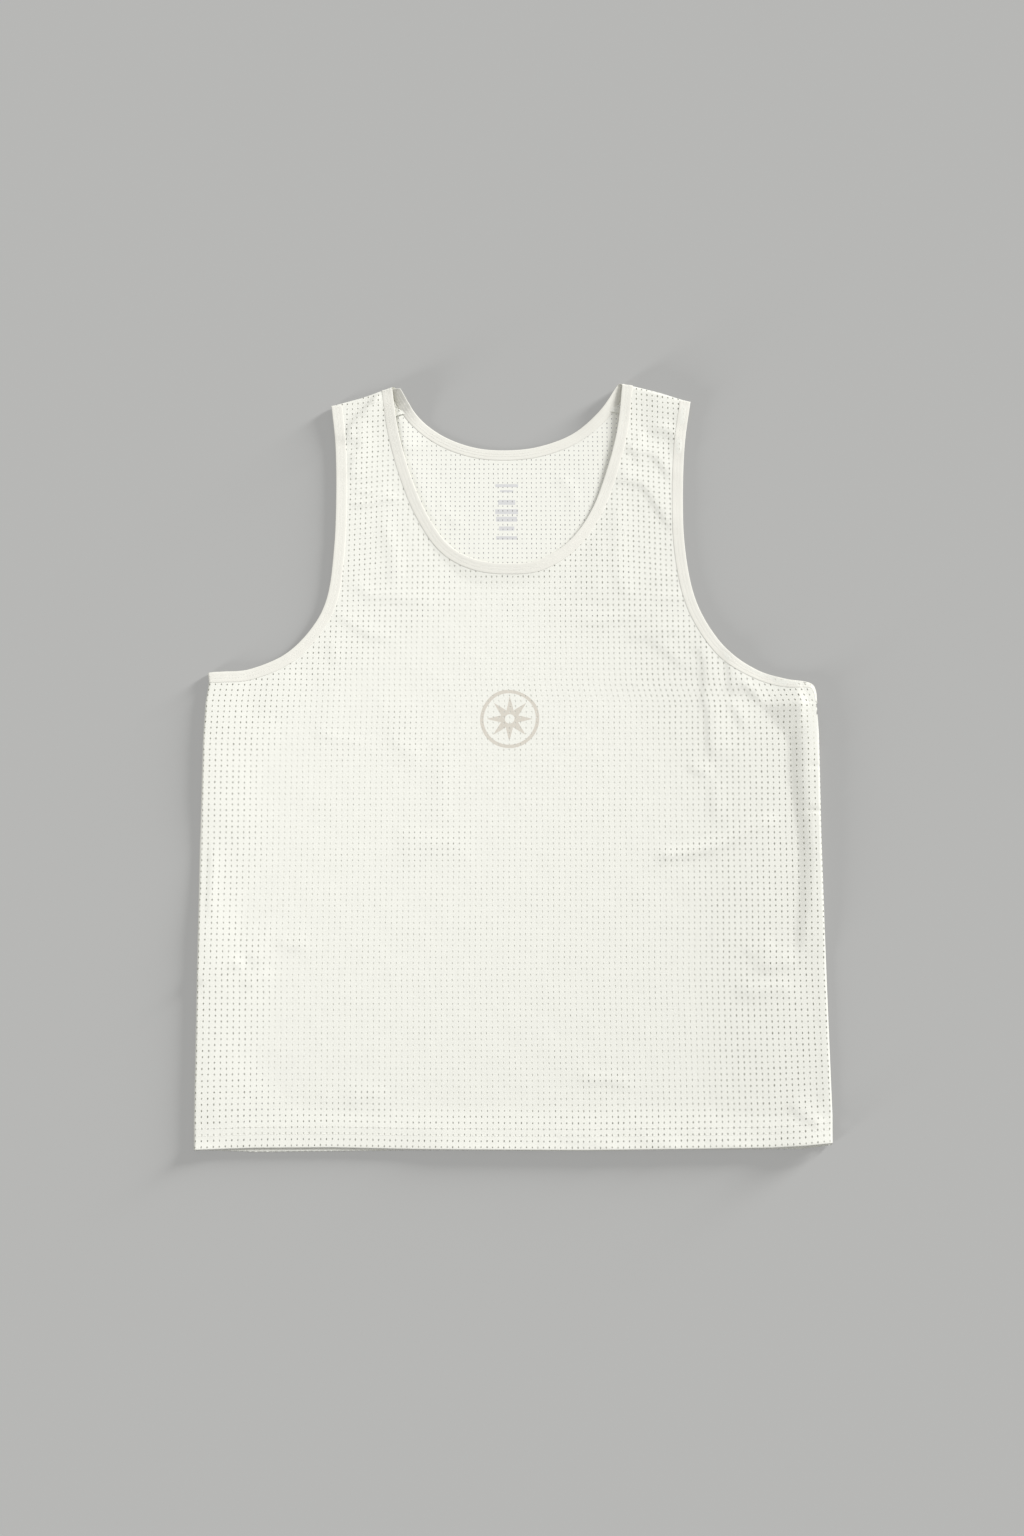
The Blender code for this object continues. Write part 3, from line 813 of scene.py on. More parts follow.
@dataclass(frozen=True)
class KnitFinish:
    """Matt white knit: its fine loops, faint blotches, soft sheen and what shows through it."""

    name: str
    colour: Colour
    blotch: Colour
    wale: float
    course: float
    bump: float
    loop_height: float = 0.1
    roughness: float = 0.78
    sheen: float = 0.18
    sheen_roughness: float = 0.45
    gloss: float = 0.25
    through: float = 0.06
    blotch_scale: float = 90.0
    prints: tuple[Print, ...] = ()

    def material(self) -> Material:
        """Builds the finish."""
        material, sheet = new_material(self.name)
        flat = sheet.node("ShaderNodeUVMap", {"uv_map": FLAT_MAP}).outputs["UV"]
        parts = sheet.node("ShaderNodeSeparateXYZ", Vector=flat)
        across = sheet.math("DIVIDE", parts.outputs["X"], MM)
        up = sheet.math("DIVIDE", parts.outputs["Y"], MM)
        colour = self._colour(sheet, flat, across, up)
        normal = self._loops(sheet, across, up)
        cloth = sheet.out(
            "ShaderNodeBsdfPrincipled", Base_Color=colour, Roughness=self.roughness,
            Metallic=0.0, Sheen_Weight=self.sheen, Sheen_Roughness=self.sheen_roughness,
            Specular_IOR_Level=self.gloss, Normal=normal,
        )
        behind = sheet.out("ShaderNodeBsdfTranslucent", Color=colour, Normal=normal)
        mixed = sheet.out("ShaderNodeMixShader", in0=self.through, in1=cloth, in2=behind)
        sheet.node("ShaderNodeOutputMaterial", Surface=mixed)
        return material

    def _colour(self, sheet: NodeSheet, flat: Socket, across: Socket,
                up: Socket) -> Socket:
        """Knit colour with soft blotches and any prints."""
        noise = sheet.node("ShaderNodeTexNoise", Vector=flat, Scale=self.blotch_scale, Detail=3.0)
        mix = sheet.node("ShaderNodeMix", {"data_type": "RGBA"}, in0=noise.outputs["Fac"],
                         in6=self.colour, in7=self.blotch)
        colour = mix.outputs[2]
        for mark in self.prints:
            printed = sheet.node("ShaderNodeMix", {"data_type": "RGBA"},
                                 in0=mark.mask(sheet, across, up), in6=colour, in7=mark.colour)
            colour = printed.outputs[2]
        return colour

    def _loops(self, sheet: NodeSheet, across: Socket,
               up: Socket) -> Socket:
        """Bump of the knit's wales and courses."""
        wales = sheet.math("SINE", sheet.math("MULTIPLY", across, 2.0 * math.pi / self.wale))
        courses = sheet.math("SINE", sheet.math("MULTIPLY", up, 2.0 * math.pi / self.course))
        loops = sheet.math("MULTIPLY", wales, courses)
        bump = sheet.node("ShaderNodeBump", Strength=self.bump, Distance=self.loop_height * MM,
                          Height=loops)
        return bump.outputs["Normal"]


@dataclass(frozen=True)
class ThreadFinish:
    """Smooth spun polyester sewing thread."""

    name: str
    colour: Colour
    roughness: float = 0.55
    sheen: float = 0.1
    fibre_scale: float = 2200.0
    fibre_bump: float = 0.3
    fibre_height: float = 0.05

    def material(self) -> Material:
        """Builds the finish."""
        material, sheet = new_material(self.name)
        place = sheet.node("ShaderNodeTexCoord").outputs["Object"]
        noise = sheet.node("ShaderNodeTexNoise", Vector=place, Scale=self.fibre_scale, Detail=1.0)
        bump = sheet.node("ShaderNodeBump", Strength=self.fibre_bump,
                          Distance=self.fibre_height * MM, Height=noise.outputs["Fac"])
        thread = sheet.out("ShaderNodeBsdfPrincipled", Base_Color=self.colour,
                           Roughness=self.roughness, Metallic=0.0, Sheen_Weight=self.sheen,
                           Normal=bump.outputs["Normal"])
        sheet.node("ShaderNodeOutputMaterial", Surface=thread)
        return material


@dataclass(frozen=True)
class FloorFinish:
    """Plain pale grey floor, lit evenly from below as on a light table."""

    name: str
    colour: Colour
    glow: Colour

    def material(self) -> Material:
        """Builds the finish."""
        material, sheet = new_material(self.name)
        floor = sheet.out("ShaderNodeBsdfDiffuse", Color=self.colour)
        light = sheet.out("ShaderNodeEmission", Color=self.glow, Strength=1.0)
        both = sheet.out("ShaderNodeAddShader", in0=floor, in1=light)
        sheet.node("ShaderNodeOutputMaterial", Surface=both)
        return material


# ---- Meshes ----

def link(name: str, mesh: Mesh) -> Object:
    """Puts a mesh in the scene as an object at the origin."""
    made = bpy.data.objects.new(name, mesh)
    bpy.context.scene.collection.objects.link(made)
    return made


def plain_mesh(source: Object, name: str) -> Mesh:
    """The evaluated mesh of an object with live modifiers, which is then removed.

    Args:
        source: the object.
        name: the new mesh's name.

    Returns:
        A mesh of its own, with no modifiers.
    """
    graph = bpy.context.evaluated_depsgraph_get()
    mesh = bpy.data.meshes.new_from_object(source.evaluated_get(graph), depsgraph=graph)
    mesh.name = name
    old = source.data
    bpy.data.objects.remove(source)
    bpy.data.meshes.remove(old)
    return mesh


def coordinates(mesh: Mesh) -> Array:
    """The mesh's points."""
    values = np.empty(3 * len(mesh.vertices))
    mesh.vertices.foreach_get("co", values)
    return values.reshape(-1, 3)


def move_points(mesh: Mesh, points: Array) -> None:
    """Moves all the mesh's points, in metres."""
    mesh.vertices.foreach_set("co", np.ascontiguousarray(points, dtype=np.float32).ravel())
    mesh.update()


def map_flat(mesh: Mesh, flat: Array) -> None:
    """Writes a UV map of places on the flat cut, in metres, from one place for each point."""
    layer = mesh.uv_layers.new(name=FLAT_MAP)
    corners = np.empty(len(mesh.loops), dtype=np.int32)
    mesh.loops.foreach_get("vertex_index", corners)
    layer.uv.foreach_set("vector", flat[corners].astype(np.float32).ravel())


# ---- Geometry Nodes ----

class NodesTool:
    """A Geometry Nodes tree with named inputs, which is run once on an object."""

    name = "tool"
    inputs: tuple[tuple[str, str], ...] = ()

    def __init__(self) -> None:
        """Makes the tree with its sockets and has the subclass fill it."""
        self.tree = bpy.data.node_groups.new(self.name, "GeometryNodeTree")
        face = self.tree.interface
        face.new_socket("Geometry", in_out="INPUT", socket_type="NodeSocketGeometry")
        for label, kind in self.inputs:
            face.new_socket(label, in_out="INPUT", socket_type=kind)
        face.new_socket("Geometry", in_out="OUTPUT", socket_type="NodeSocketGeometry")
        sheet = NodeSheet(self.tree)
        given = sheet.node("NodeGroupInput").outputs
        sheet.node("NodeGroupOutput", Geometry=self.build(sheet, given))

    def build(self, sheet: NodeSheet, given: Given) -> Socket:
        """Fills the tree and returns its last geometry socket."""
        raise NotImplementedError

    def run(self, source: Object, name: str, **values: object) -> Mesh:
        """Runs the tree on an object and returns the result as a plain mesh.

        Args:
            source: the object, which is used up.
            name: the new mesh's name.
            values: the tree's inputs by name, with _ for a space.

        Returns:
            The plain mesh.
        """
        modifier = source.modifiers.new(self.name, "NODES")
        modifier.node_group = self.tree
        for item in self.tree.interface.items_tree:
            if item.in_out == "INPUT" and item.name.replace(" ", "_") in values:
                modifier[item.identifier] = values[item.name.replace(" ", "_")]
        return plain_mesh(source, name)


class Punch(NodesTool):
    """Cuts knit flat: a cell of cloth with a hole through it on each point.

    Points with the attribute "folded" get the finer cell, which can go round a fold.
    """

    name = "punched_knit"
    inputs = (
        ("Plain Cell", "NodeSocketObject"),
        ("Folded Cell", "NodeSocketObject"),
        ("Pitch", "NodeSocketVector"),
        ("Hole", "NodeSocketVector"),
        ("Weld", "NodeSocketFloat"),
        ("Material", "NodeSocketMaterial"),
    )

    def build(self, sheet: NodeSheet, given: Given) -> Socket:
        """Fills the tree, as NodesTool has it."""
        folded = sheet.named("folded", "BOOLEAN")
        plain = sheet.out("FunctionNodeBooleanMath", {"operation": "NOT"}, in0=folded)
        joined = sheet.node("GeometryNodeJoinGeometry")
        for cell, chosen in (("Plain Cell", plain), ("Folded Cell", folded)):
            placed = sheet.out(
                "GeometryNodeInstanceOnPoints", Points=given["Geometry"], Selection=chosen,
                Instance=self._sized_cell(sheet, given, cell),
            )
            sheet.tree.links.new(placed, joined.inputs[0])
        whole = sheet.out("GeometryNodeRealizeInstances", Geometry=joined.outputs[0])
        welded = sheet.out("GeometryNodeMergeByDistance", Geometry=whole, Distance=given["Weld"])
        return sheet.out("GeometryNodeSetMaterial", Geometry=welded, Material=given["Material"])

    def _sized_cell(self, sheet: NodeSheet, given: Given,
                    cell: str) -> Socket:
        """A unit cell brought to the pitch, with its rim brought to the hole's size."""
        shape = sheet.node("GeometryNodeObjectInfo", Object=given[cell]).outputs["Geometry"]
        size = self._either(sheet, sheet.named("rim", "BOOLEAN"), given["Pitch"], given["Hole"])
        place = sheet.out("GeometryNodeInputPosition")
        scaled = sheet.out("ShaderNodeVectorMath", {"operation": "MULTIPLY"}, in0=place, in1=size)
        return sheet.out("GeometryNodeSetPosition", Geometry=shape, Position=scaled)

    @staticmethod
    def _either(sheet: NodeSheet, choice: Socket, no: Socket,
                yes: Socket) -> Socket:
        """One of two vectors by a choice."""
        switch = sheet.tree.nodes.new("GeometryNodeSwitch")
        switch.input_type = "VECTOR"
        sheet.tree.links.new(choice, switch.inputs["Switch"])
        sheet.tree.links.new(no, switch.inputs["False"])
        sheet.tree.links.new(yes, switch.inputs["True"])
        return switch.outputs[0]


class Sew(NodesTool):
    """Sews rows: stitches of a set length along each path, each dipping into the cloth.

    The path's points carry the attribute "up", which points off the cloth.
    """

    FACETS = 5

    name = "sewn_row"
    inputs = (
        ("Stitch", "NodeSocketFloat"),
        ("Gap", "NodeSocketFloat"),
        ("Thread", "NodeSocketFloat"),
        ("Arch", "NodeSocketFloat"),
        ("Material", "NodeSocketMaterial"),
    )

    def build(self, sheet: NodeSheet, given: Given) -> Socket:
        """Fills the tree, as NodesTool has it."""
        path = sheet.out("GeometryNodeMeshToCurve", Mesh=given["Geometry"])
        pitch = sheet.math("ADD", given["Stitch"], given["Gap"])
        spaced = sheet.out("GeometryNodeResampleCurve", {"mode": "LENGTH"}, Curve=path,
                           Length=pitch)
        tangent = sheet.out("GeometryNodeInputTangent")
        turn = sheet.out("FunctionNodeAlignRotationToVector", {"axis": "X"}, Vector=tangent)
        turn = sheet.out("FunctionNodeAlignRotationToVector", {"axis": "Z", "pivot_axis": "X"},
                         Rotation=turn, Vector=sheet.named("up", "FLOAT_VECTOR"))
        placed = sheet.out("GeometryNodeInstanceOnPoints", Points=spaced,
                           Instance=self._stitch(sheet, given), Rotation=turn)
        whole = sheet.out("GeometryNodeRealizeInstances", Geometry=placed)
        smooth = sheet.out("GeometryNodeSetShadeSmooth", Geometry=whole)
        return sheet.out("GeometryNodeSetMaterial", Geometry=smooth, Material=given["Material"])

    def _stitch(self, sheet: NodeSheet, given: Given) -> Socket:
        """One stitch: a short arched thread whose ends are under the cloth."""
        half = sheet.math("MULTIPLY", given["Stitch"], 0.5)
        back = sheet.math("MULTIPLY", half, -1.0)
        sunk = sheet.math("MULTIPLY", given["Thread"], -1.0)
        start, top, end = (
            sheet.out("ShaderNodeCombineXYZ", X=along, Z=high)
            for along, high in ((back, sunk), (0.0, given["Arch"]), (half, sunk)))
        line = sheet.out("GeometryNodeCurveQuadraticBezier", Resolution=self.FACETS, Start=start,
                         Middle=top, End=end)
        ring = sheet.out("GeometryNodeCurvePrimitiveCircle", {"mode": "RADIUS"},
                         Resolution=self.FACETS, Radius=given["Thread"])
        return sheet.out("GeometryNodeCurveToMesh", Curve=line, Profile_Curve=ring, Fill_Caps=True)


def knit_cell(name: str, splits: int) -> Object:
    """A unit square of cloth with an eight-sided hole, whose rim points carry "rim".

    Args:
        name: the object's name.
        splits: edges along each side of the square: 1, or 4 for a cell with a ring of squares.

    Returns:
        The object, outside the scene.
    """
    faces: list[tuple[int, ...]] = []
    if splits == 1:
        points = [(0.5, 0.5, 0.0), (-0.5, 0.5, 0.0), (-0.5, -0.5, 0.0), (0.5, -0.5, 0.0)]
        first = len(points)
        for k in range(4):
            near, far = first + 2 * k, first + 2 * k + 1
            after = first + (2 * k + 2) % 8
            faces += [(k, far, near), (k, (k + 1) % 4, after, far)]
    else:
        count = splits + 1
        points = [(i / splits - 0.5, j / splits - 0.5, 0.0)
                  for j in range(count) for i in range(count)]
        first = len(points)
        middle = splits // 2
        for j in range(splits):
            for i in range(splits):
                if middle - 1 <= i <= middle and middle - 1 <= j <= middle:
                    continue
                a = j * count + i
                faces.append((a, a + 1, a + 1 + count, a + count))
        round_middle = ((1, 0), (1, 1), (0, 1), (-1, 1), (-1, 0), (-1, -1), (0, -1), (1, -1))
        inner = [(middle + i) + (middle + j) * count for i, j in round_middle]
        for k in range(8):
            after = (k + 1) % 8
            faces.append((inner[k], inner[after], first + after, first + k))
    start = 0.5 if splits == 1 else 0.0
    turns = [math.pi * (k + start) / 4 for k in range(8)]
    points += [(math.cos(turn), math.sin(turn), 0.0) for turn in turns]
    mesh = bpy.data.meshes.new(name)
    mesh.from_pydata(points, [], faces)
    flags = mesh.attributes.new("rim", "BOOLEAN", "POINT")
    flags.data.foreach_set("value", [k >= first for k in range(len(points))])
    return bpy.data.objects.new(name, mesh)


# ---- Panels ----

@dataclass
class PerforatedPanel:
    """A body panel: knit cut flat, punched, and laid over the form.

    The flat cut is measured in millimetres across from the left side seam and up from the hem's
    fold, so that what is turned up lies below zero.  seam_step is how much higher the side seam
    is between the turned hems, and corner_lift how much higher it is at the right end of the hem.
    """

    face: Face
    columns: int
    pitch: float = 5.0
    hole: Point = (0.50, 0.88)
    row_scale: float = 0.99
    first_row: float = -20.0
    top: float = 392.0
    turn_radius: float = 0.26
    hem_shift: float = 1.7
    side_roll: float = 1.7
    corner_lift: float = 2.6
    seam_step: float = 0.0
    slack_step: float = 0.25
    fold_rows: int = 5
    fold_columns: int = 1
    unevenness: float = 0.22
    drift: float = 0.10
    stretch: float = 0.0
    stretch_from: Point = (0.45, 0.3)
    last_columns: int = 3
    last_size: float = 0.93
    seed: int = 3
    slack: Array = field(init=False, repr=False)

    # share of an even spread that the columns keep in the middle
    MIDDLE_SPREAD = 0.975
    # samples of a row for its slack, their margin at the end, and the steepest that counts
    SHARES = 1600
    BEFORE_LAST = 1.0001
    STEEPEST = 6.0
    # height up the cut over which the rows come off the hem's curve
    LEVEL_TO = 120.0
    # between the rims of holes and the rest of their cells, and between points that are welded
    RIM_ROOM = 0.1
    WELD = 0.01
    # the raw edge inside a finished edge, and how far a place is pulled back to it at most
    UNDER_BINDING = 1.0
    LONGEST_PULL = 9.0
    STRAPS_FROM = 250.0
    # a place and the span over which something sets in
    TURNED_HEM = (6.0, 8.0)
    CORNER = (-344.0, 14.0)
    HEM_SHIFT_FROM = (8.0, 4.0)
    # how much wider the hem's turn is on the right, and the x where it is
    WIDER_TURN = (0.7, 160.0)

    @property
    def width(self) -> float:
        """Width of the flat cut."""
        return self.columns * self.pitch

    @property
    def node(self) -> str:
        """Name of the frame's node."""
        return self.face.value + "_panel"

    @property
    def hem_middle(self) -> float:
        """Y of the hem's fold at the middle of the body."""
        return hem_at(np.zeros(1), self.face)[0]

    # the flat cut in plan

    def rows_up(self, up: Array) -> Array:
        """Height up the body in plan over the hem, for heights up the flat cut."""
        return up * self.row_scale

    def row_slope(self, x: Array, y: Array) -> Array:
        """How far rows rise where the cloth was drawn to the neck."""
        return np.zeros(np.shape(x))

    def squeeze(self, y: Array) -> Array:
        """Share of their plain spread that the columns keep at places up the body."""
        return np.ones(np.shape(y))

    def spread(self, share: Array) -> Array:
        """Place across the body, from -1 to 1, of a share across the cut from -1 to 1."""
        return share * (self.MIDDLE_SPREAD + (1.0 - self.MIDDLE_SPREAD) * share ** 2)

    def plan(self, share: Array, up: Array) -> tuple[Array, Array]:
        """Place in plan of the cut before any fold, without its slack."""
        base = self.hem_middle + self.rows_up(np.clip(up, 0.0, None))
        left, right = side_at(base, Side.LEFT), side_at(base, Side.RIGHT)
        across = self.spread(share) * self.squeeze(base)
        x = (left + right) / 2 + (right - left) / 2 * across
        lower = hem_at(x, self.face) - self.hem_middle
        y = base + lower * (1.0 - ease(np.clip(up, 0.0, None) / self.LEVEL_TO))
        return x, y + self.row_slope(x, y)

    def measure_slack(self) -> None:
        """Spaces the columns of each row evenly over the cloth's surface, creases included."""
        count = int(self.width / self.slack_step) + 1
        shares = np.sin(np.linspace(-math.pi / 2, math.pi / 2, self.SHARES))
        rows = np.arange(0.0, self.top_up() + self.pitch, self.pitch)
        grid_share, grid_up = np.meshgrid(shares, rows)
        x, y = self.plan(grid_share, grid_up)
        z = self.height(x, y)
        run = np.diff(x, axis=1)
        stretch = np.hypot(run, np.diff(z, axis=1)) / np.maximum(run, 1e-6)
        stretch = np.minimum(stretch, self.STEEPEST)
        grown = np.cumsum(np.diff(grid_share, axis=1) * stretch, axis=1)
        grown = np.hstack([np.zeros((len(rows), 1)), grown])
        grown = 2.0 * grown / grown[:, -1:] - 1.0
        even = np.linspace(-1.0, 1.0, count)
        self.slack = np.array([np.interp(even, row, shares) for row in grown])

    def top_up(self) -> float:
        """Height up the cut of its highest place."""
        return (self.top - self.hem_middle) / self.row_scale

    def settle(self, across: Array, up: Array) -> Array:
        """Share across, from -1 to 1, that a place on the cut takes with its slack."""
        rows, columns = (count - self.BEFORE_LAST for count in self.slack.shape)
        column = np.clip(across / self.slack_step, 0.0, columns)
        row = np.clip(up / self.pitch, 0.0, rows)
        i, j = column.astype(int), row.astype(int)
        a, b = column - i, row - j
        return ((self.slack[j, i] * (1 - a) + self.slack[j, i + 1] * a) * (1 - b)
                + (self.slack[j + 1, i] * (1 - a) + self.slack[j + 1, i + 1] * a) * b)

    def settled(self, across: Array, up: Array) -> tuple[Array, Array]:
        """Place in plan of the cut before any fold, with its slack."""
        return self.plan(self.settle(across, up), up)

    # the form

    def height(self, x: Array, y: Array) -> Array:
        """Height of the cloth, side seams included."""
        lie = LIES[self.face].height(x, y)
        share = np.clip(from_sides(x, y) / self.side_roll, 0.0, 1.0)
        roll = np.sqrt(1.0 - (1.0 - share) ** 2)
        past_hem, step = self.TURNED_HEM
        corner, reach = self.CORNER
        hem = ease((hem_at(x, self.face) + HEM_DEPTH + past_hem - y) / step)
        seam = SIDE_SEAM_HEIGHT + self.seam_step * hem
        seam += self.corner_lift * np.exp(-((y - corner) / reach) ** 2) * (x > 0)
        return seam + (lie - seam) * roll

    def edges(self) -> tuple[Edge, ...]:
        """The finished edges that trim the panel."""
        return ARMHOLES[Side.LEFT], ARMHOLES[Side.RIGHT], NECKS[self.face]

    def trimmed(self, x: Array, y: Array) -> tuple[Array, Array]:
        """Distance inside the nearest finished edge, and the unit vector towards the cloth."""
        first, *others = self.edges()
        best, inward = first.inside(x, y)
        for edge in others:
            distance, normal = edge.inside(x, y)
            nearer = distance < best
            best = np.where(nearer, distance, best)
            inward = np.where(nearer[..., None], normal, inward)
        return best, inward

    def pulled_in(self, x: Array, y: Array, up: Array, inside: Array,
                  inward: Array) -> tuple[Array, Array]:
        """Places off the cut brought back to its raw edge, inside the binding.

        Args:
            x, y: the places in plan.
            up: their heights up the cut.
            inside, inward: what trimmed says of them.

        Returns:
            x and y of the places.
        """
        short = np.clip(self.UNDER_BINDING - inside, 0.0, self.LONGEST_PULL) * (up > 0)
        return x + inward[:, 0] * short, y + inward[:, 1] * short

    # making

    def make(self, punch: Punch, cells: tuple[Object, Object],
             material: Material) -> Object:
        """Cuts, punches and lays the panel.

        Args:
            punch: the tool that punches the flat cut.
            cells: the plain and the folded cell.
            material: the knit.

        Returns:
            The panel's object.
        """
        self.measure_slack()
        mesh = self._punched(punch, cells, material)
        flat = self.uneven(coordinates(mesh)[:, :2] / MM)
        points = self.place(flat[:, 0], flat[:, 1])
        map_flat(mesh, flat * MM)
        move_points(mesh, points * MM)
        if self.face is Face.BACK:
            mesh.flip_normals()
        mesh.shade_smooth()
        return link(self.node + "_knit", mesh)

    def uneven(self, flat: Array) -> Array:
        """Makes the holes a little uneven in size and place.

        Args:
            flat: places on the cut, in millimetres.

        Returns:
            The places, with those on a hole's rim moved.
        """
        cell = np.floor((flat - (0.0, self.first_row)) / self.pitch).astype(int)
        centre = (cell + 0.5) * self.pitch + (0.0, self.first_row)
        from_centre = flat - centre
        on_rim = np.abs(from_centre).max(axis=1) < self.pitch / 4 - self.RIM_ROOM
        draw = np.random.default_rng(self.seed)
        count = cell.max(axis=0) + 1
        grow = 1.0 + self.unevenness * draw.uniform(-1.0, 1.0, (count[0], count[1], 2))
        share = np.arange(count[0]) / count[0]
        start, span = self.stretch_from
        grow *= 1.0 + self.stretch * ease((share - start) / span)[:, None, None]
        grow[-self.last_columns:] *= self.last_size
        shift = self.drift * draw.normal(size=(count[0], count[1], 2))
        cell = np.clip(cell, 0, count - 1)
        i, j = cell[:, 0], cell[:, 1]
        moved = centre + from_centre * grow[i, j] + shift[i, j]
        return np.where(on_rim[:, None], moved, flat)

    def _punched(self, punch: Punch, cells: tuple[Object, Object],
                 material: Material) -> Mesh:
        """The flat cut, punched."""
        ups = np.arange(self.first_row + self.pitch / 2, self.top_up(), self.pitch)
        across = (np.arange(self.columns) + 0.5) * self.pitch
        centre_u, centre_v = (grid.ravel() for grid in np.meshgrid(across, ups))
        kept = np.zeros(len(centre_u), bool)
        for du, dv in ((-0.5, -0.5), (0.5, -0.5), (0.5, 0.5), (-0.5, 0.5)):
            kept |= self.wanted(centre_u + du * self.pitch, centre_v + dv * self.pitch)
        centre_u, centre_v = centre_u[kept], centre_v[kept]
        folded = self.near_fold(centre_u, centre_v)
        seeds = bpy.data.meshes.new(self.node + "_cells")
        seeds.from_pydata(
            [(u * MM, v * MM, 0.0) for u, v in zip(centre_u, centre_v)], [], [])
        flags = seeds.attributes.new("folded", "BOOLEAN", "POINT")
        flags.data.foreach_set("value", folded)
        log.info("%s: %d holes, %d at folds", self.node, len(folded), int(folded.sum()))
        pitch = self.pitch * MM
        return punch.run(
            link(self.node + "_seeds", seeds), self.node + "_knit", Plain_Cell=cells[0],
            Folded_Cell=cells[1], Pitch=(pitch, pitch, 1.0),
            Hole=(self.hole[0] * MM, self.hole[1] * MM, 1.0), Weld=self.WELD * MM,
            Material=material,
        )

    def wanted(self, across: Array, up: Array) -> Array:
        """Whether places on the cut are on the panel, with a little of what its bindings hide."""
        raise NotImplementedError

    def near_fold(self, across: Array, up: Array) -> Array:
        """Whether cells are at a side seam, a hem or a shoulder fold."""
        reach = self.fold_columns * self.pitch
        edge = (across < reach) | (across > self.width - reach)
        hem = (up > -self.pitch) & (up < self.fold_rows * self.pitch)
        return edge | hem

    def place(self, across: Array, up: Array) -> Array:
        """Where places on the cut lie, in millimetres."""
        raise NotImplementedError

    def turn_hem(self, x: Array, y: Array, z: Array, up: Array,
                 inside: int) -> tuple[Array, Array]:
        """Rolls the hem over its fold and lays the turned cloth inside the singlet.

        Args:
            x, y, z: places of the cloth as if it stopped at the fold.
            up: heights up the cut, negative on what is turned.
            inside: -1 where the inside is below the cloth, 1 where it is above.

        Returns:
            y and z of the rolled cloth.
        """
        wider, full = self.WIDER_TURN
        radius = self.turn_radius * (1.0 + wider * ease(x / full))
        quarter = math.pi / 2 * radius
        turn = np.clip(up / radius, -math.pi / 2, math.pi / 2)
        beyond = np.clip(np.abs(up) - quarter, 0.0, None)
        start, span = self.HEM_SHIFT_FROM
        beyond = beyond + self.hem_shift * ease((-up - start) / span)
        fold = hem_at(x, self.face)
        rolled_y = np.where(up < quarter, fold + radius * (1.0 - np.cos(turn)) + beyond, y)
        outer = self.height(x, np.maximum(rolled_y, fold + radius))
        rolled_z = np.where(up < quarter, outer + inside * radius * (1.0 - np.sin(turn)), z)
        return rolled_y, rolled_z


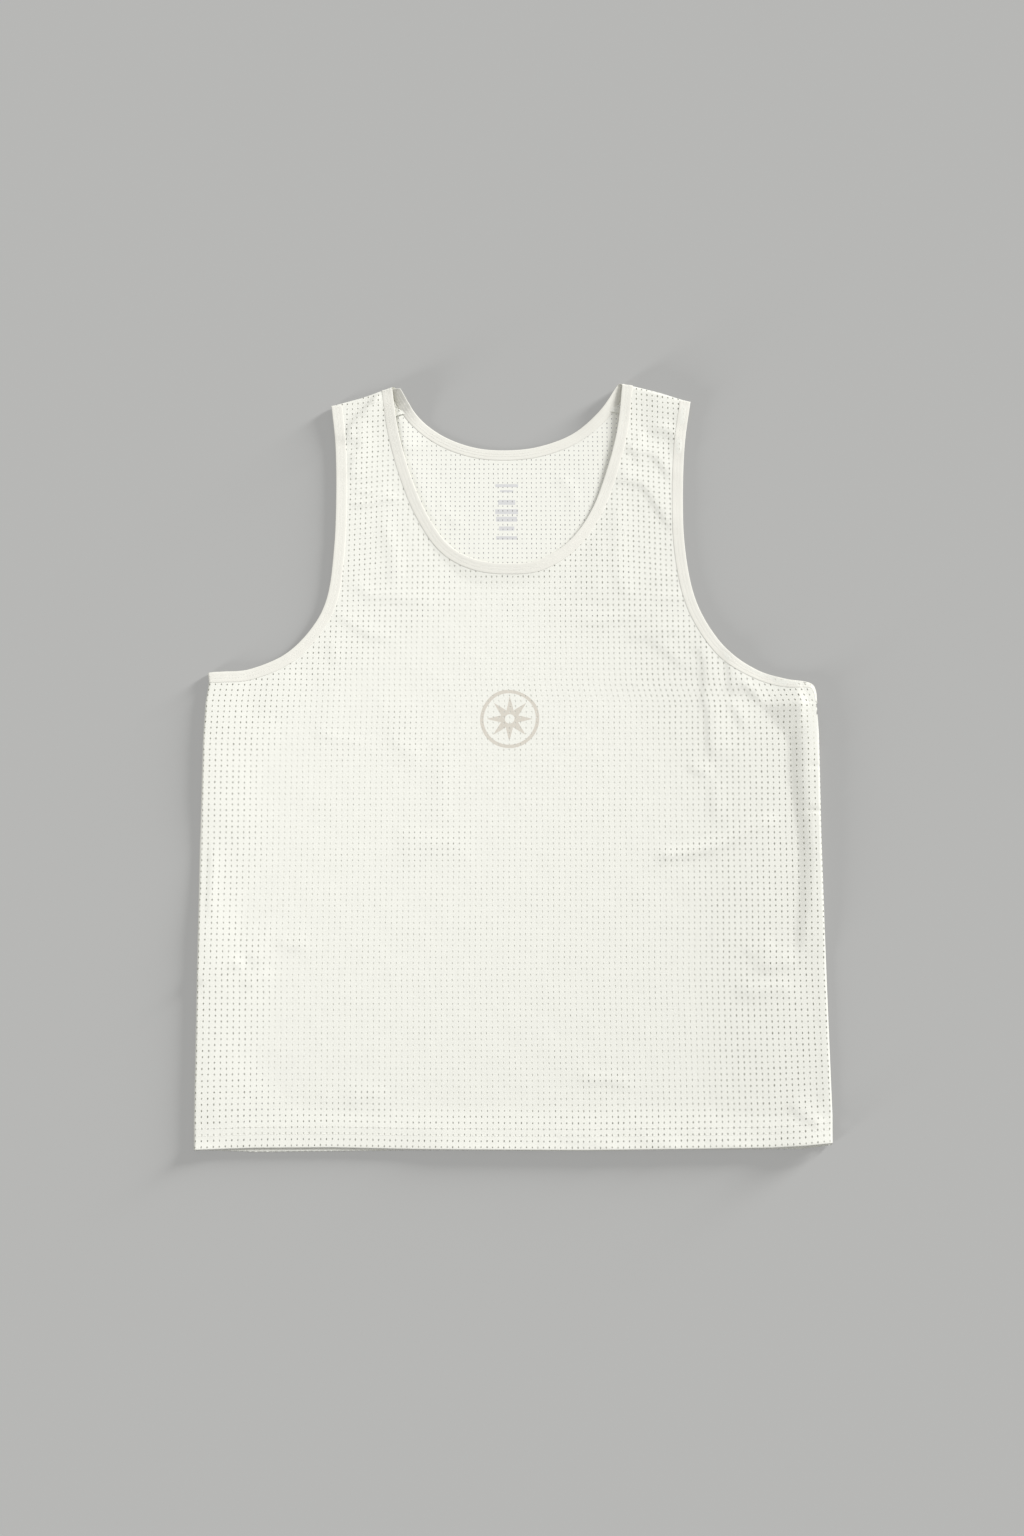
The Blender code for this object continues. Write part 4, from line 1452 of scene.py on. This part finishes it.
@dataclass
class FrontPanel(PerforatedPanel):
    """The front, which runs over the shoulder folds to the seams on the back."""

    seam_step: float = 0.45

    # slope of the rows on a strap, its middle and half its width, and where the slope sets in
    ROW_SLOPE = 0.12
    STRAP_MIDDLE = 130.0
    STRAP_HALF = 32.0
    SLOPE_FROM = (110.0, 70.0)
    # middle and half of the band of finer cells at a fold, past it
    FOLD_CELLS = (5.0, 12.0)
    # height of the seam allowance over the cloth, and the span in which it gets there
    ALLOWANCE_STEP = (1.1, 1.5)

    def row_slope(self, x: Array, y: Array) -> Array:
        """Rows rise towards the neck on the straps."""
        start, span = self.SLOPE_FROM
        climb = np.tanh((self.STRAP_MIDDLE - np.abs(x)) / self.STRAP_HALF) * self.STRAP_HALF
        return self.ROW_SLOPE * climb * ease((y - start) / span)

    def over_fold(self, x: Array, y: Array) -> dict[str, Array]:
        """What a shoulder fold does to places of the unfolded plan.

        Args:
            x, y: the places.

        Returns:
            past: distance past the fold; outward: vector off the shoulder; foot_x, foot_y: the
            fold under the place; radius: of the fold there; turn: angle round it; over: length
            beyond it on the back.
        """
        past, outward = past_fold(x, y)
        gone = np.clip(past, 0.0, None)
        foot_x, foot_y = x - gone * outward[..., 0], y - gone * outward[..., 1]
        low = LIES[Face.BACK].height(foot_x, foot_y)
        radius = (self.height(foot_x, foot_y) - low) / 2.0
        turn = np.minimum(gone / radius, math.pi)
        over = np.clip(gone - math.pi * radius, 0.0, None)
        return {"past": past, "outward": outward, "foot_x": foot_x, "foot_y": foot_y,
                "radius": radius, "turn": turn, "over": over}

    def trim_after_fold(self, x: Array, y: Array) -> tuple[Array, Array]:
        """Distance inside the finished edge and the vector inward, in the unfolded plan."""
        inside, inward = self.trimmed(x, y)
        fold = self.over_fold(x, y)
        beyond = fold["past"] > 0
        if not beyond.any():
            return inside, inward
        out_x, out_y = fold["outward"][..., 0], fold["outward"][..., 1]
        back_x = fold["foot_x"] - out_x * fold["over"]
        back_y = fold["foot_y"] - out_y * fold["over"]
        front_in, front_way = self.trimmed(fold["foot_x"], fold["foot_y"])
        back_in, back_way = BACK_TRIM.trimmed(back_x, back_y)
        share = fold["turn"] / math.pi
        folded_in = front_in * (1 - share) + back_in * share
        mirror = np.einsum("...i,...i->...", back_way, fold["outward"])[..., None]
        back_way = back_way - 2.0 * mirror * fold["outward"]
        folded_way = np.where(share[..., None] > 0.5, back_way, front_way)
        return (np.where(beyond, folded_in, inside),
                np.where(beyond[..., None], folded_way, inward))

    def wanted(self, across: Array, up: Array) -> Array:
        """Whether places on the cut are on the panel."""
        x, y = self.settled(across, up)
        inside, _ = self.trim_after_fold(x, y)
        over = self.over_fold(x, y)["over"]
        return (inside > self.UNDER_BINDING) & (over < SEAM_BEHIND_FOLD + SEAM_ALLOWANCE)

    def near_fold(self, across: Array, up: Array) -> Array:
        """Whether cells are at a side seam, a hem or a shoulder fold."""
        x, y = self.settled(across, up)
        middle, half = self.FOLD_CELLS
        at_fold = np.abs(past_fold(x, y)[0] - middle) < half
        return super().near_fold(across, up) | at_fold & (y > self.STRAPS_FROM)

    def place(self, across: Array, up: Array) -> Array:
        """Where places on the cut lie, in millimetres."""
        x, y = self.settled(across, up)
        inside, inward = self.trim_after_fold(x, y)
        x, y = self.pulled_in(x, y, up, inside, inward)
        z = self.height(x, y)
        y, z = self.turn_hem(x, y, z, up, -1)
        fold = self.over_fold(x, y)
        limit = SEAM_BEHIND_FOLD + SEAM_ALLOWANCE
        over = np.minimum(fold["over"], limit)
        out_x, out_y = fold["outward"][:, 0], fold["outward"][:, 1]
        reach = fold["radius"] * np.sin(fold["turn"]) - over
        folded_x, folded_y = fold["foot_x"] + out_x * reach, fold["foot_y"] + out_y * reach
        low = LIES[Face.BACK].height(folded_x, folded_y)
        folded_z = low + fold["radius"] * (1.0 + np.cos(fold["turn"]))
        high, span = self.ALLOWANCE_STEP
        folded_z += high * ease((over - SEAM_BEHIND_FOLD) / span)
        beyond = fold["past"] > 0
        return np.column_stack([np.where(beyond, folded_x, x), np.where(beyond, folded_y, y),
                                np.where(beyond, folded_z, z)])


@dataclass
class BackPanel(PerforatedPanel):
    """The back, which lies on the floor and reaches the seams behind the shoulder folds."""

    seam_step: float = -0.05
    drawn_in: float = 0.066
    close_rows: float = 0.91

    # more than the length of the cut, and where rows and columns begin to draw together
    LONGEST = 900.0
    CLOSE_FROM = (400.0, 110.0)
    DRAWN_FROM = (60.0, 110.0)
    # half of the band of finer cells at a seam, and the step of the seam allowance
    SEAM_CELLS = 6.0
    ALLOWANCE_STEP = (0.5, 0.8)

    def rows_up(self, up: Array) -> Array:
        """Rows are closer together above the armpits."""
        start, span = self.CLOSE_FROM
        steps = np.arange(0.0, self.LONGEST, 1.0)
        tight = ease((steps * self.row_scale - start) / span)
        scale = self.row_scale * (1.0 - tight) + self.close_rows * tight
        return np.interp(up, steps, np.concatenate([[0.0], np.cumsum(scale[:-1])]))

    def top_up(self) -> float:
        """Height up the cut of its highest place."""
        return (self.top - self.hem_middle) / self.close_rows

    def squeeze(self, y: Array) -> Array:
        """The columns draw together above the armpits."""
        start, span = self.DRAWN_FROM
        return 1.0 - self.drawn_in * ease((y - start) / span)

    def below_seam(self, x: Array, y: Array) -> Array:
        """How far places are below the shoulder seam."""
        return -past_fold(x, y)[0] - SEAM_BEHIND_FOLD

    def wanted(self, across: Array, up: Array) -> Array:
        """Whether places on the cut are on the panel."""
        x, y = self.settled(across, up)
        inside, _ = self.trimmed(x, y)
        return (inside > self.UNDER_BINDING) & (self.below_seam(x, y) > -SEAM_ALLOWANCE)

    def near_fold(self, across: Array, up: Array) -> Array:
        """Whether cells are at a side seam, a hem or a shoulder seam."""
        x, y = self.settled(across, up)
        at_seam = np.abs(self.below_seam(x, y)) < self.SEAM_CELLS
        return super().near_fold(across, up) | at_seam & (y > self.STRAPS_FROM)

    def place(self, across: Array, up: Array) -> Array:
        """Where places on the cut lie, in millimetres."""
        x, y = self.settled(across, up)
        inside, inward = self.trimmed(x, y)
        x, y = self.pulled_in(x, y, up, inside, inward)
        z = self.height(x, y)
        y, z = self.turn_hem(x, y, z, up, 1)
        past, outward = past_fold(x, y)
        past = np.clip(past + SEAM_BEHIND_FOLD, 0.0, None) * (y > self.STRAPS_FROM)
        turned = np.minimum(past, SEAM_ALLOWANCE)
        x = x - outward[:, 0] * (past + turned)
        y = y - outward[:, 1] * (past + turned)
        high, span = self.ALLOWANCE_STEP
        return np.column_stack([x, y, z + high * ease(turned / span)])


BACK_TRIM = BackPanel(Face.BACK, BACK_COLUMNS)


# ---- Bindings ----

# Distances across from the finished edge and off the middle of the cloth, round a folded binding
BINDING_SECTION = (
    (7.4, 0.04), (9.5, 0.02), (9.98, 0.04), (10.0, 0.12), (9.8, 0.21), (9.1, 0.27), (7.6, 0.31),
    (6.8, 0.30), (6.3, 0.22), (5.8, 0.31), (5.05, 0.33), (4.3, 0.32), (3.8, 0.24), (3.3, 0.32),
    (2.3, 0.33), (0.6, 0.32), (0.12, 0.24), (0.0, 0.0), (0.15, -0.25), (0.8, -0.33),
    (2.3, -0.34), (3.8, -0.26), (5.05, -0.34), (6.3, -0.24), (7.6, -0.31), (9.1, -0.26),
    (9.8, -0.19), (9.95, -0.11), (9.7, -0.07), (7.4, -0.07),
)
NEEDLE_ROWS = (3.8, 6.3)
NEEDLE_HEIGHTS = {Face.FRONT: 0.26, Face.BACK: -0.28}


@dataclass(frozen=True)
class Station:
    """A place on a binding's way: its finished edge and where its other edge lies."""

    edge: Array
    cloth: Array


class Binding:
    """A folded strip round one opening, with its needle rows."""

    # steps along the strip and round a fold, and the fewest round a fold
    STEP = 1.5
    FOLD_STEP = 0.6
    LEAST_STEPS = 6
    # how far the finished edge drops for each millimetre of width that the binding lacks
    NARROW_DROP = 0.45
    # shares of a back edge over which it curls up at its start and at its end
    CURLS = (0.18, 0.28)

    def __init__(self, node: str) -> None:
        """Starts a binding that stands for a node of the frame."""
        self.node = node
        self.stations: list[Station] = []
        self.flat = (0.0, 0.0)

    # the way round

    @staticmethod
    def laid(edge: Edge, face: Face, raised: tuple[float, float] = (0.0, 0.0)) -> list[Station]:
        """Stations along a finished edge on one face.

        Args:
            edge: the finished edge.
            face: the cloth that it finishes.
            raised: how far a back edge curls up at the start and at the end of its run.

        Returns:
            The stations.
        """
        count = int(edge.length / Binding.STEP) + 1
        pick = np.linspace(0, len(edge.points) - 1, count).round().astype(int)
        outer = edge.points[pick, :2]
        width = edge.points[pick, 2:3]
        inner = outer + edge.inward[pick] * width
        high_outer = LIES[face].height(outer[:, 0], outer[:, 1])
        high_inner = LIES[face].height(inner[:, 0], inner[:, 1])
        if face is Face.FRONT:
            high_outer = high_outer - Binding.NARROW_DROP * (BINDING_WIDTH - width[:, 0])
            high_outer = np.maximum(high_outer, BACK_BINDING_LIE + BINDINGS_APART)
        else:
            share = np.linspace(0.0, 1.0, count)
            for high, curl, to_end in zip(raised, Binding.CURLS, (share, 1.0 - share)):
                high_outer += high * ease((curl - to_end) / curl)
        return [Station(np.append(a, h), np.append(b, g))
                for a, b, h, g in zip(outer, inner, high_outer, high_inner)]

    @staticmethod
    def over(first: Station, last: Station, outward: Array) -> list[Station]:
        """Stations round the half circle from one station to the one under or over it.

        Args:
            first, last: the stations at its ends.
            outward: vector in plan off the fold.

        Returns:
            The stations between them.
        """
        out = np.append(outward, 0.0)
        made = []
        drop = max(abs(first.edge[2] - last.edge[2]), abs(first.cloth[2] - last.cloth[2]))
        count = max(Binding.LEAST_STEPS, int(math.pi * drop / 2.0 / Binding.FOLD_STEP))
        for step in range(1, count):
            turn = math.pi * step / count
            share = (1.0 - math.cos(turn)) / 2.0
            ends = []
            for start, end in ((first.edge, last.edge), (first.cloth, last.cloth)):
                radius = abs(start[2] - end[2]) / 2.0
                ends.append(start * (1 - share) + end * share + out * radius * math.sin(turn))
            made.append(Station(*ends))
        return made

    # making

    def frames(self) -> tuple[Array, Array, Array]:
        """The finished edge, the other edge and the vector off the cloth, at each station."""
        outer = np.array([station.edge for station in self.stations])
        inner = np.array([station.cloth for station in self.stations])
        middle = (outer + inner) / 2.0
        along = np.roll(middle, -1, axis=0) - np.roll(middle, 1, axis=0)
        along /= np.linalg.norm(along, axis=1)[:, None]
        across = inner - outer
        across /= np.linalg.norm(across, axis=1)[:, None]
        off = np.cross(along, across)
        off /= np.linalg.norm(off, axis=1)[:, None]
        if off[0, 2] < 0:
            off = -off
        return outer, inner, off

    def surface(self, across: float, off: float) -> tuple[Array, Array]:
        """Points of a line along the strip, and the vectors off the cloth there.

        Args:
            across: from the finished edge, on a strip of full width.
            off: from the middle of the cloth.

        Returns:
            The points and the vectors.
        """
        outer, inner, normal = self.frames()
        return outer + (inner - outer) * (across / BINDING_WIDTH) + normal * off, normal

    def make(self, material: Material) -> Object:
        """Makes the strip as one closed ring of its open section."""
        outer = self.frames()[0]
        grid = np.stack([self.surface(*place)[0] for place in BINDING_SECTION], axis=1)
        count, points = grid.shape[:2]
        run = np.linalg.norm(np.roll(outer, -1, axis=0) - outer, axis=1)
        length = np.concatenate([[0.0], np.cumsum(run)[:-1]])
        width = np.concatenate([[0.0], np.cumsum(np.hypot(
            *np.diff(np.array(BINDING_SECTION), axis=0).T))])
        faces = [(i * points + j, after * points + j, after * points + j + 1, i * points + j + 1)
                 for i, after in enumerate(np.roll(np.arange(count), -1).tolist())
                 for j in range(points - 1)]
        mesh = bpy.data.meshes.new(self.node + "_strip")
        mesh.from_pydata((grid.reshape(-1, 3) * MM).tolist(), [], faces)
        flat = np.column_stack([np.repeat(length, points), np.tile(width, count)]) * MM
        map_flat(mesh, flat)
        face = mesh.polygons[points // 4]
        if face.normal.z < 0:
            mesh.flip_normals()
        mesh.shade_smooth()
        mesh.materials.append(material)
        self.flat = (float(length[-1] + run[-1]), float(width[-1]))
        return link(self.node + "_strip", mesh)

    def needle_paths(self) -> list[tuple[Array, Array]]:
        """Lines of stitches on the outer and the inner face of the strip."""
        paths = []
        for across in NEEDLE_ROWS:
            for off in NEEDLE_HEIGHTS.values():
                points, up = self.surface(across, off)
                paths.append((points, math.copysign(1.0, off) * up))
        return paths


class NeckBinding(Binding):
    """The binding round the neck, front, right shoulder, back and left shoulder."""

    def __init__(self) -> None:
        """Lays the strip round the neck."""
        super().__init__("neck_binding")
        front = self.laid(NECKS[Face.FRONT], Face.FRONT)
        back = self.laid(NECKS[Face.BACK], Face.BACK, raised=(6.5, 3.6))[::-1]
        right = self.over(front[-1], back[0], FOLDS_OVER[Side.RIGHT].outward)
        left = self.over(back[-1], front[0], FOLDS_OVER[Side.LEFT].outward)
        self.stations = front + right + back + left


class ArmholeBinding(Binding):
    """The binding round one armhole, folded at the shoulder and at the side seam."""

    def __init__(self, side: Side) -> None:
        """Lays the strip round the armhole."""
        super().__init__("armhole_binding_" + side.word)
        front = self.laid(ARMHOLES[side], Face.FRONT)
        back = self.laid(ARMHOLES[side], Face.BACK)[::-1]
        shoulder = self.over(front[-1], back[0], FOLDS_OVER[side].outward)
        outward = np.array([float(side.value), 0.0])
        underarm = self.over(back[-1], front[0], outward)
        self.stations = front + shoulder + back + underarm


# ---- Sewing ----

@dataclass
class Stitching:
    """Rows of stitches sewn on one piece of the frame.

    A row's line keeps its least height over the floor, and the thread the floor gap.
    """

    LEAST_HEIGHT = 0.24
    FLOOR_GAP = 0.02

    name: str
    stitch: float = 2.3
    gap: float = 0.30
    thread: float = 0.13
    arch: float = 0.30
    points: list[Array] = field(default_factory=list)
    ups: list[Array] = field(default_factory=list)
    edges: list[tuple[int, int]] = field(default_factory=list)

    def add(self, points: Array, up: Array, closed: bool) -> None:
        """Adds a row.

        Args:
            points: its line.
            up: vectors off the cloth.
            closed: whether it is a loop.
        """
        first = sum(len(part) for part in self.points)
        count = len(points)
        off_floor = np.maximum(points[:, 2], self.LEAST_HEIGHT)
        self.points.append(np.column_stack([points[:, :2], off_floor]))
        self.ups.append(up)
        self.edges += [(first + k, first + k + 1) for k in range(count - 1)]
        if closed:
            self.edges.append((first + count - 1, first))

    def make(self, sew: Sew, material: Material) -> Object:
        """Sews the rows and returns their object."""
        mesh = bpy.data.meshes.new(self.name + "_path")
        mesh.from_pydata((np.vstack(self.points) * MM).tolist(), self.edges, [])
        up = mesh.attributes.new("up", "FLOAT_VECTOR", "POINT")
        up.data.foreach_set("vector", np.vstack(self.ups).astype(np.float32).ravel())
        sewn = sew.run(
            link(self.name + "_path", mesh), self.name, Stitch=self.stitch * MM,
            Gap=self.gap * MM, Thread=self.thread * MM, Arch=self.arch * MM, Material=material,
        )
        points = coordinates(sewn)
        points[:, 2] = np.maximum(points[:, 2], self.FLOOR_GAP * MM)
        move_points(sewn, points)
        return link(self.name, sewn)


class HemStitching(Stitching):
    """The two needle rows of a hem."""

    OFF_CLOTH = 0.05
    FROM_SEAM = 3.0
    STEP = 1.5

    def lay(self, panel: PerforatedPanel) -> None:
        """Adds both rows on the outer face of a panel."""
        outer = 1.0 if panel.face is Face.FRONT else -1.0
        across = np.arange(self.FROM_SEAM, panel.width - self.FROM_SEAM, self.STEP)
        for height in HEM_NEEDLES:
            points = panel.place(across, np.full(len(across), height))
            beyond = panel.place(across, np.full(len(across), height + 1.0))
            along = np.gradient(points, axis=0)
            up = np.cross(along, beyond - points)
            up /= np.linalg.norm(up, axis=1)[:, None]
            self.add(points + up * outer * self.OFF_CLOTH, up * outer, closed=False)


# ---- Studio ----

@dataclass(frozen=True)
class Studio:
    """Floor, lights and camera."""

    camera_place: tuple[float, float, float] = (0.5, -289.1, 1268.9)
    camera_tilt: float = 12.0
    lens: float = 34.36
    sensor: float = 36.0
    floor_half: float = 4.0
    floor_finish: FloorFinish = FloorFinish(
        "floor_grey", (0.150, 0.150, 0.147, 1.0), (0.251, 0.251, 0.245, 1.0))
    bearing: float = 35.0
    key_climb: float = 29.0
    key_angle: float = 26.0
    key_strength: float = 3.17
    floor_climb: float = 5.0
    floor_angle: float = 12.0
    floor_lights: tuple[Point, ...] = ((0.0, 26.0), (180.0, 9.7))
    surround: float = 0.494
    lamp_place: tuple[float, float, float] = (-0.28, 0.17, 2.0)
    lamp_watts: float = 21.0
    lamp_angle: float = 46.0
    lamp_size: float = 0.3

    def camera(self) -> None:
        """Hangs the camera over the singlet, tilted towards the neck."""
        data = bpy.data.cameras.new("camera")
        data.lens = self.lens
        data.sensor_width = self.sensor
        data.sensor_fit = "AUTO"
        eye = bpy.data.objects.new("camera", data)
        eye.location = [value * MM for value in self.camera_place]
        eye.rotation_euler = (math.radians(self.camera_tilt), 0.0, 0.0)
        bpy.context.scene.collection.objects.link(eye)
        bpy.context.scene.camera = eye

    def floor(self) -> None:
        """Lays a wide plain floor."""
        half = self.floor_half
        mesh = bpy.data.meshes.new("floor")
        mesh.from_pydata([(-half, -half, 0.0), (half, -half, 0.0), (half, half, 0.0),
                          (-half, half, 0.0)], [], [(0, 1, 2, 3)])
        mesh.materials.append(self.floor_finish.material())
        link("floor", mesh)

    def sun(self, name: str, turn: float, climb: float, angle: float,
            strength: float) -> Object:
        """Hangs a soft far light.

        Args:
            name: the light's name.
            turn: how far its place is turned from the key light's, in degrees.
            climb: how high it stands over the floor, in degrees.
            angle: how wide it is, in degrees.
            strength: its strength.

        Returns:
            The light.
        """
        data = bpy.data.lights.new(name, "SUN")
        data.angle = math.radians(angle)
        data.energy = strength
        made = bpy.data.objects.new(name, data)
        bearing = 90.0 + self.bearing + turn
        made.rotation_euler = (math.radians(90.0 - climb), 0.0, math.radians(bearing))
        bpy.context.scene.collection.objects.link(made)
        return made

    def lamp(self) -> Object:
        """Hangs a soft-edged lamp straight over the singlet's left side."""
        data = bpy.data.lights.new("lamp", "SPOT")
        data.energy = self.lamp_watts
        data.spot_size = math.radians(self.lamp_angle)
        data.spot_blend = 1.0
        data.shadow_soft_size = self.lamp_size
        made = bpy.data.objects.new("lamp", data)
        made.location = self.lamp_place
        bpy.context.scene.collection.objects.link(made)
        return made

    def light_cloth(self, pieces: list[Object]) -> None:
        """Lights the cloth with a wide key light and a lamp over its left side."""
        key = self.sun("key", 0.0, self.key_climb, self.key_angle, self.key_strength)
        self.lit_only(key, "key_on", pieces)
        self.lit_only(self.lamp(), "lamp_on", pieces)

    @staticmethod
    def lit_only(light: Object, name: str, takers: list[Object]) -> None:
        """Lets a light fall on some objects only."""
        chosen = bpy.data.collections.new(name)
        for taker in takers:
            chosen.objects.link(taker)
        light.light_linking.receiver_collection = chosen

    def light(self) -> None:
        """Sets an even surround, and low lights that cast faint wide shadows on the floor."""
        floor = [bpy.data.objects["floor"]]
        for turn, strength in self.floor_lights:
            low = self.sun("floor_light", turn, self.floor_climb, self.floor_angle, strength)
            self.lit_only(low, "floor_only", floor)
        world = bpy.data.worlds.new("surround")
        world.use_nodes = True
        sheet = NodeSheet(world.node_tree)
        sky = sheet.out("ShaderNodeBackground", Color=(1.0, 1.0, 1.0, 1.0),
                        Strength=self.surround)
        sheet.node("ShaderNodeOutputWorld", Surface=sky)
        bpy.context.scene.world = world
        bpy.context.scene.view_settings.view_transform = "Standard"

    def build(self) -> None:
        """Sets the whole studio."""
        self.camera()
        self.floor()
        self.light()


# ---- The singlet ----

CHEST_BADGE = Print((272.5, 376.0), (0.70, 0.66, 0.58, 1.0), radius=27.0)
NECK_BARS = Print((276.5, 586.0), (0.70, 0.70, 0.70, 1.0), bars=(
    (26.0, 12.0, 1.6), (20.0, 7.0, 1.2), (8.0, 9.0, 2.6), (-2.0, 12.0, 2.6),
    (-10.0, 11.0, 2.6), (-20.0, 8.0, 2.2), (-30.0, 11.0, 1.8)))
FRONT_KNIT = KnitFinish(
    "perforated_knit", (0.905, 0.903, 0.833, 1.0), (0.880, 0.878, 0.808, 1.0),
    wale=0.9, course=0.8, bump=0.35, prints=(CHEST_BADGE,),
)
BACK_KNIT = replace(FRONT_KNIT, name="perforated_knit_back", prints=(NECK_BARS,))
BINDING_KNIT = KnitFinish(
    "binding_knit", (0.875, 0.865, 0.792, 1.0), (0.855, 0.840, 0.770, 1.0),
    wale=0.8, course=0.7, bump=0.3,
)
THREAD = ThreadFinish("sewing_thread", (0.90, 0.89, 0.84, 1.0))


class Singlet:
    """The whole garment."""

    def __init__(self) -> None:
        """Makes the tools and the finishes that the pieces share."""
        self.punch = Punch()
        self.sew = Sew()
        self.cells = (knit_cell("plain_cell", 1), knit_cell("folded_cell", 4))
        self.binding_cloth = BINDING_KNIT.material()
        self.thread = THREAD.material()
        self.pieces: list[Object] = []

    def finish(self, piece: Object, slot: str, *nodes: str) -> None:
        """Puts a piece on the frame and reports it."""
        self.pieces.append(piece)
        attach(piece, BODY)
        if nodes:
            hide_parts(*nodes)
        log.info("%s: %d points, %d faces", piece.name, len(piece.data.vertices),
                 len(piece.data.polygons))

    def panels(self) -> None:
        """Lays both panels and sews their hems."""
        back = BackPanel(Face.BACK, BACK_COLUMNS, first_row=-22.5)
        front = FrontPanel(Face.FRONT, FRONT_COLUMNS, fold_columns=2, stretch=0.11, seed=4)
        for panel, finish in ((back, BACK_KNIT), (front, FRONT_KNIT)):
            piece = panel.make(self.punch, self.cells, finish.material())
            self.finish(piece, "perforated_knit", panel.node)
            hem = HemStitching(panel.node + "_hem_stitches")
            hem.lay(panel)
            rows = hem.make(self.sew, self.thread)
            self.finish(rows, "perforated_knit")
            size, area = self.cut_size(piece)

    @staticmethod
    def cut_size(piece: Object) -> tuple[Point, float]:
        """Measures a panel's flat cut on its flat map, in metres.

        Args:
            piece: the panel.

        Returns:
            The cut's width and length over all, and its area without the holes.
        """
        mesh = piece.data
        layer = mesh.uv_layers[FLAT_MAP]
        flat = np.empty(2 * len(mesh.loops))
        layer.uv.foreach_get("vector", flat)
        flat = flat.reshape(-1, 2)
        total = 0.0
        for face in mesh.polygons:
            corners = flat[face.loop_start:face.loop_start + face.loop_total]
            after = np.roll(corners, -1, axis=0)
            total += abs(float(np.sum(corners[:, 0] * after[:, 1] - after[:, 0] * corners[:, 1])))
        width, length = np.ptp(flat, axis=0)
        return (round(float(width), 4), round(float(length), 4)), total / 2.0

    def bindings(self) -> None:
        """Lays the three bindings and sews their needle rows."""
        for binding in (NeckBinding(), ArmholeBinding(Side.LEFT), ArmholeBinding(Side.RIGHT)):
            strip = binding.make(self.binding_cloth)
            self.finish(strip, "binding_knit", binding.node)
            sewing = Stitching(binding.node + "_stitches")
            for points, up in binding.needle_paths():
                sewing.add(points, up, closed=True)
            rows = sewing.make(self.sew, self.thread)
            self.finish(rows, "binding_knit")


def main() -> None:
    """Builds the studio and the singlet."""
    logging.basicConfig(level=logging.INFO, format="%(message)s")
    studio = Studio()
    studio.build()
    singlet = Singlet()
    singlet.panels()
    singlet.bindings()
    studio.light_cloth(singlet.pieces)


if __name__ == "__main__":
    main()
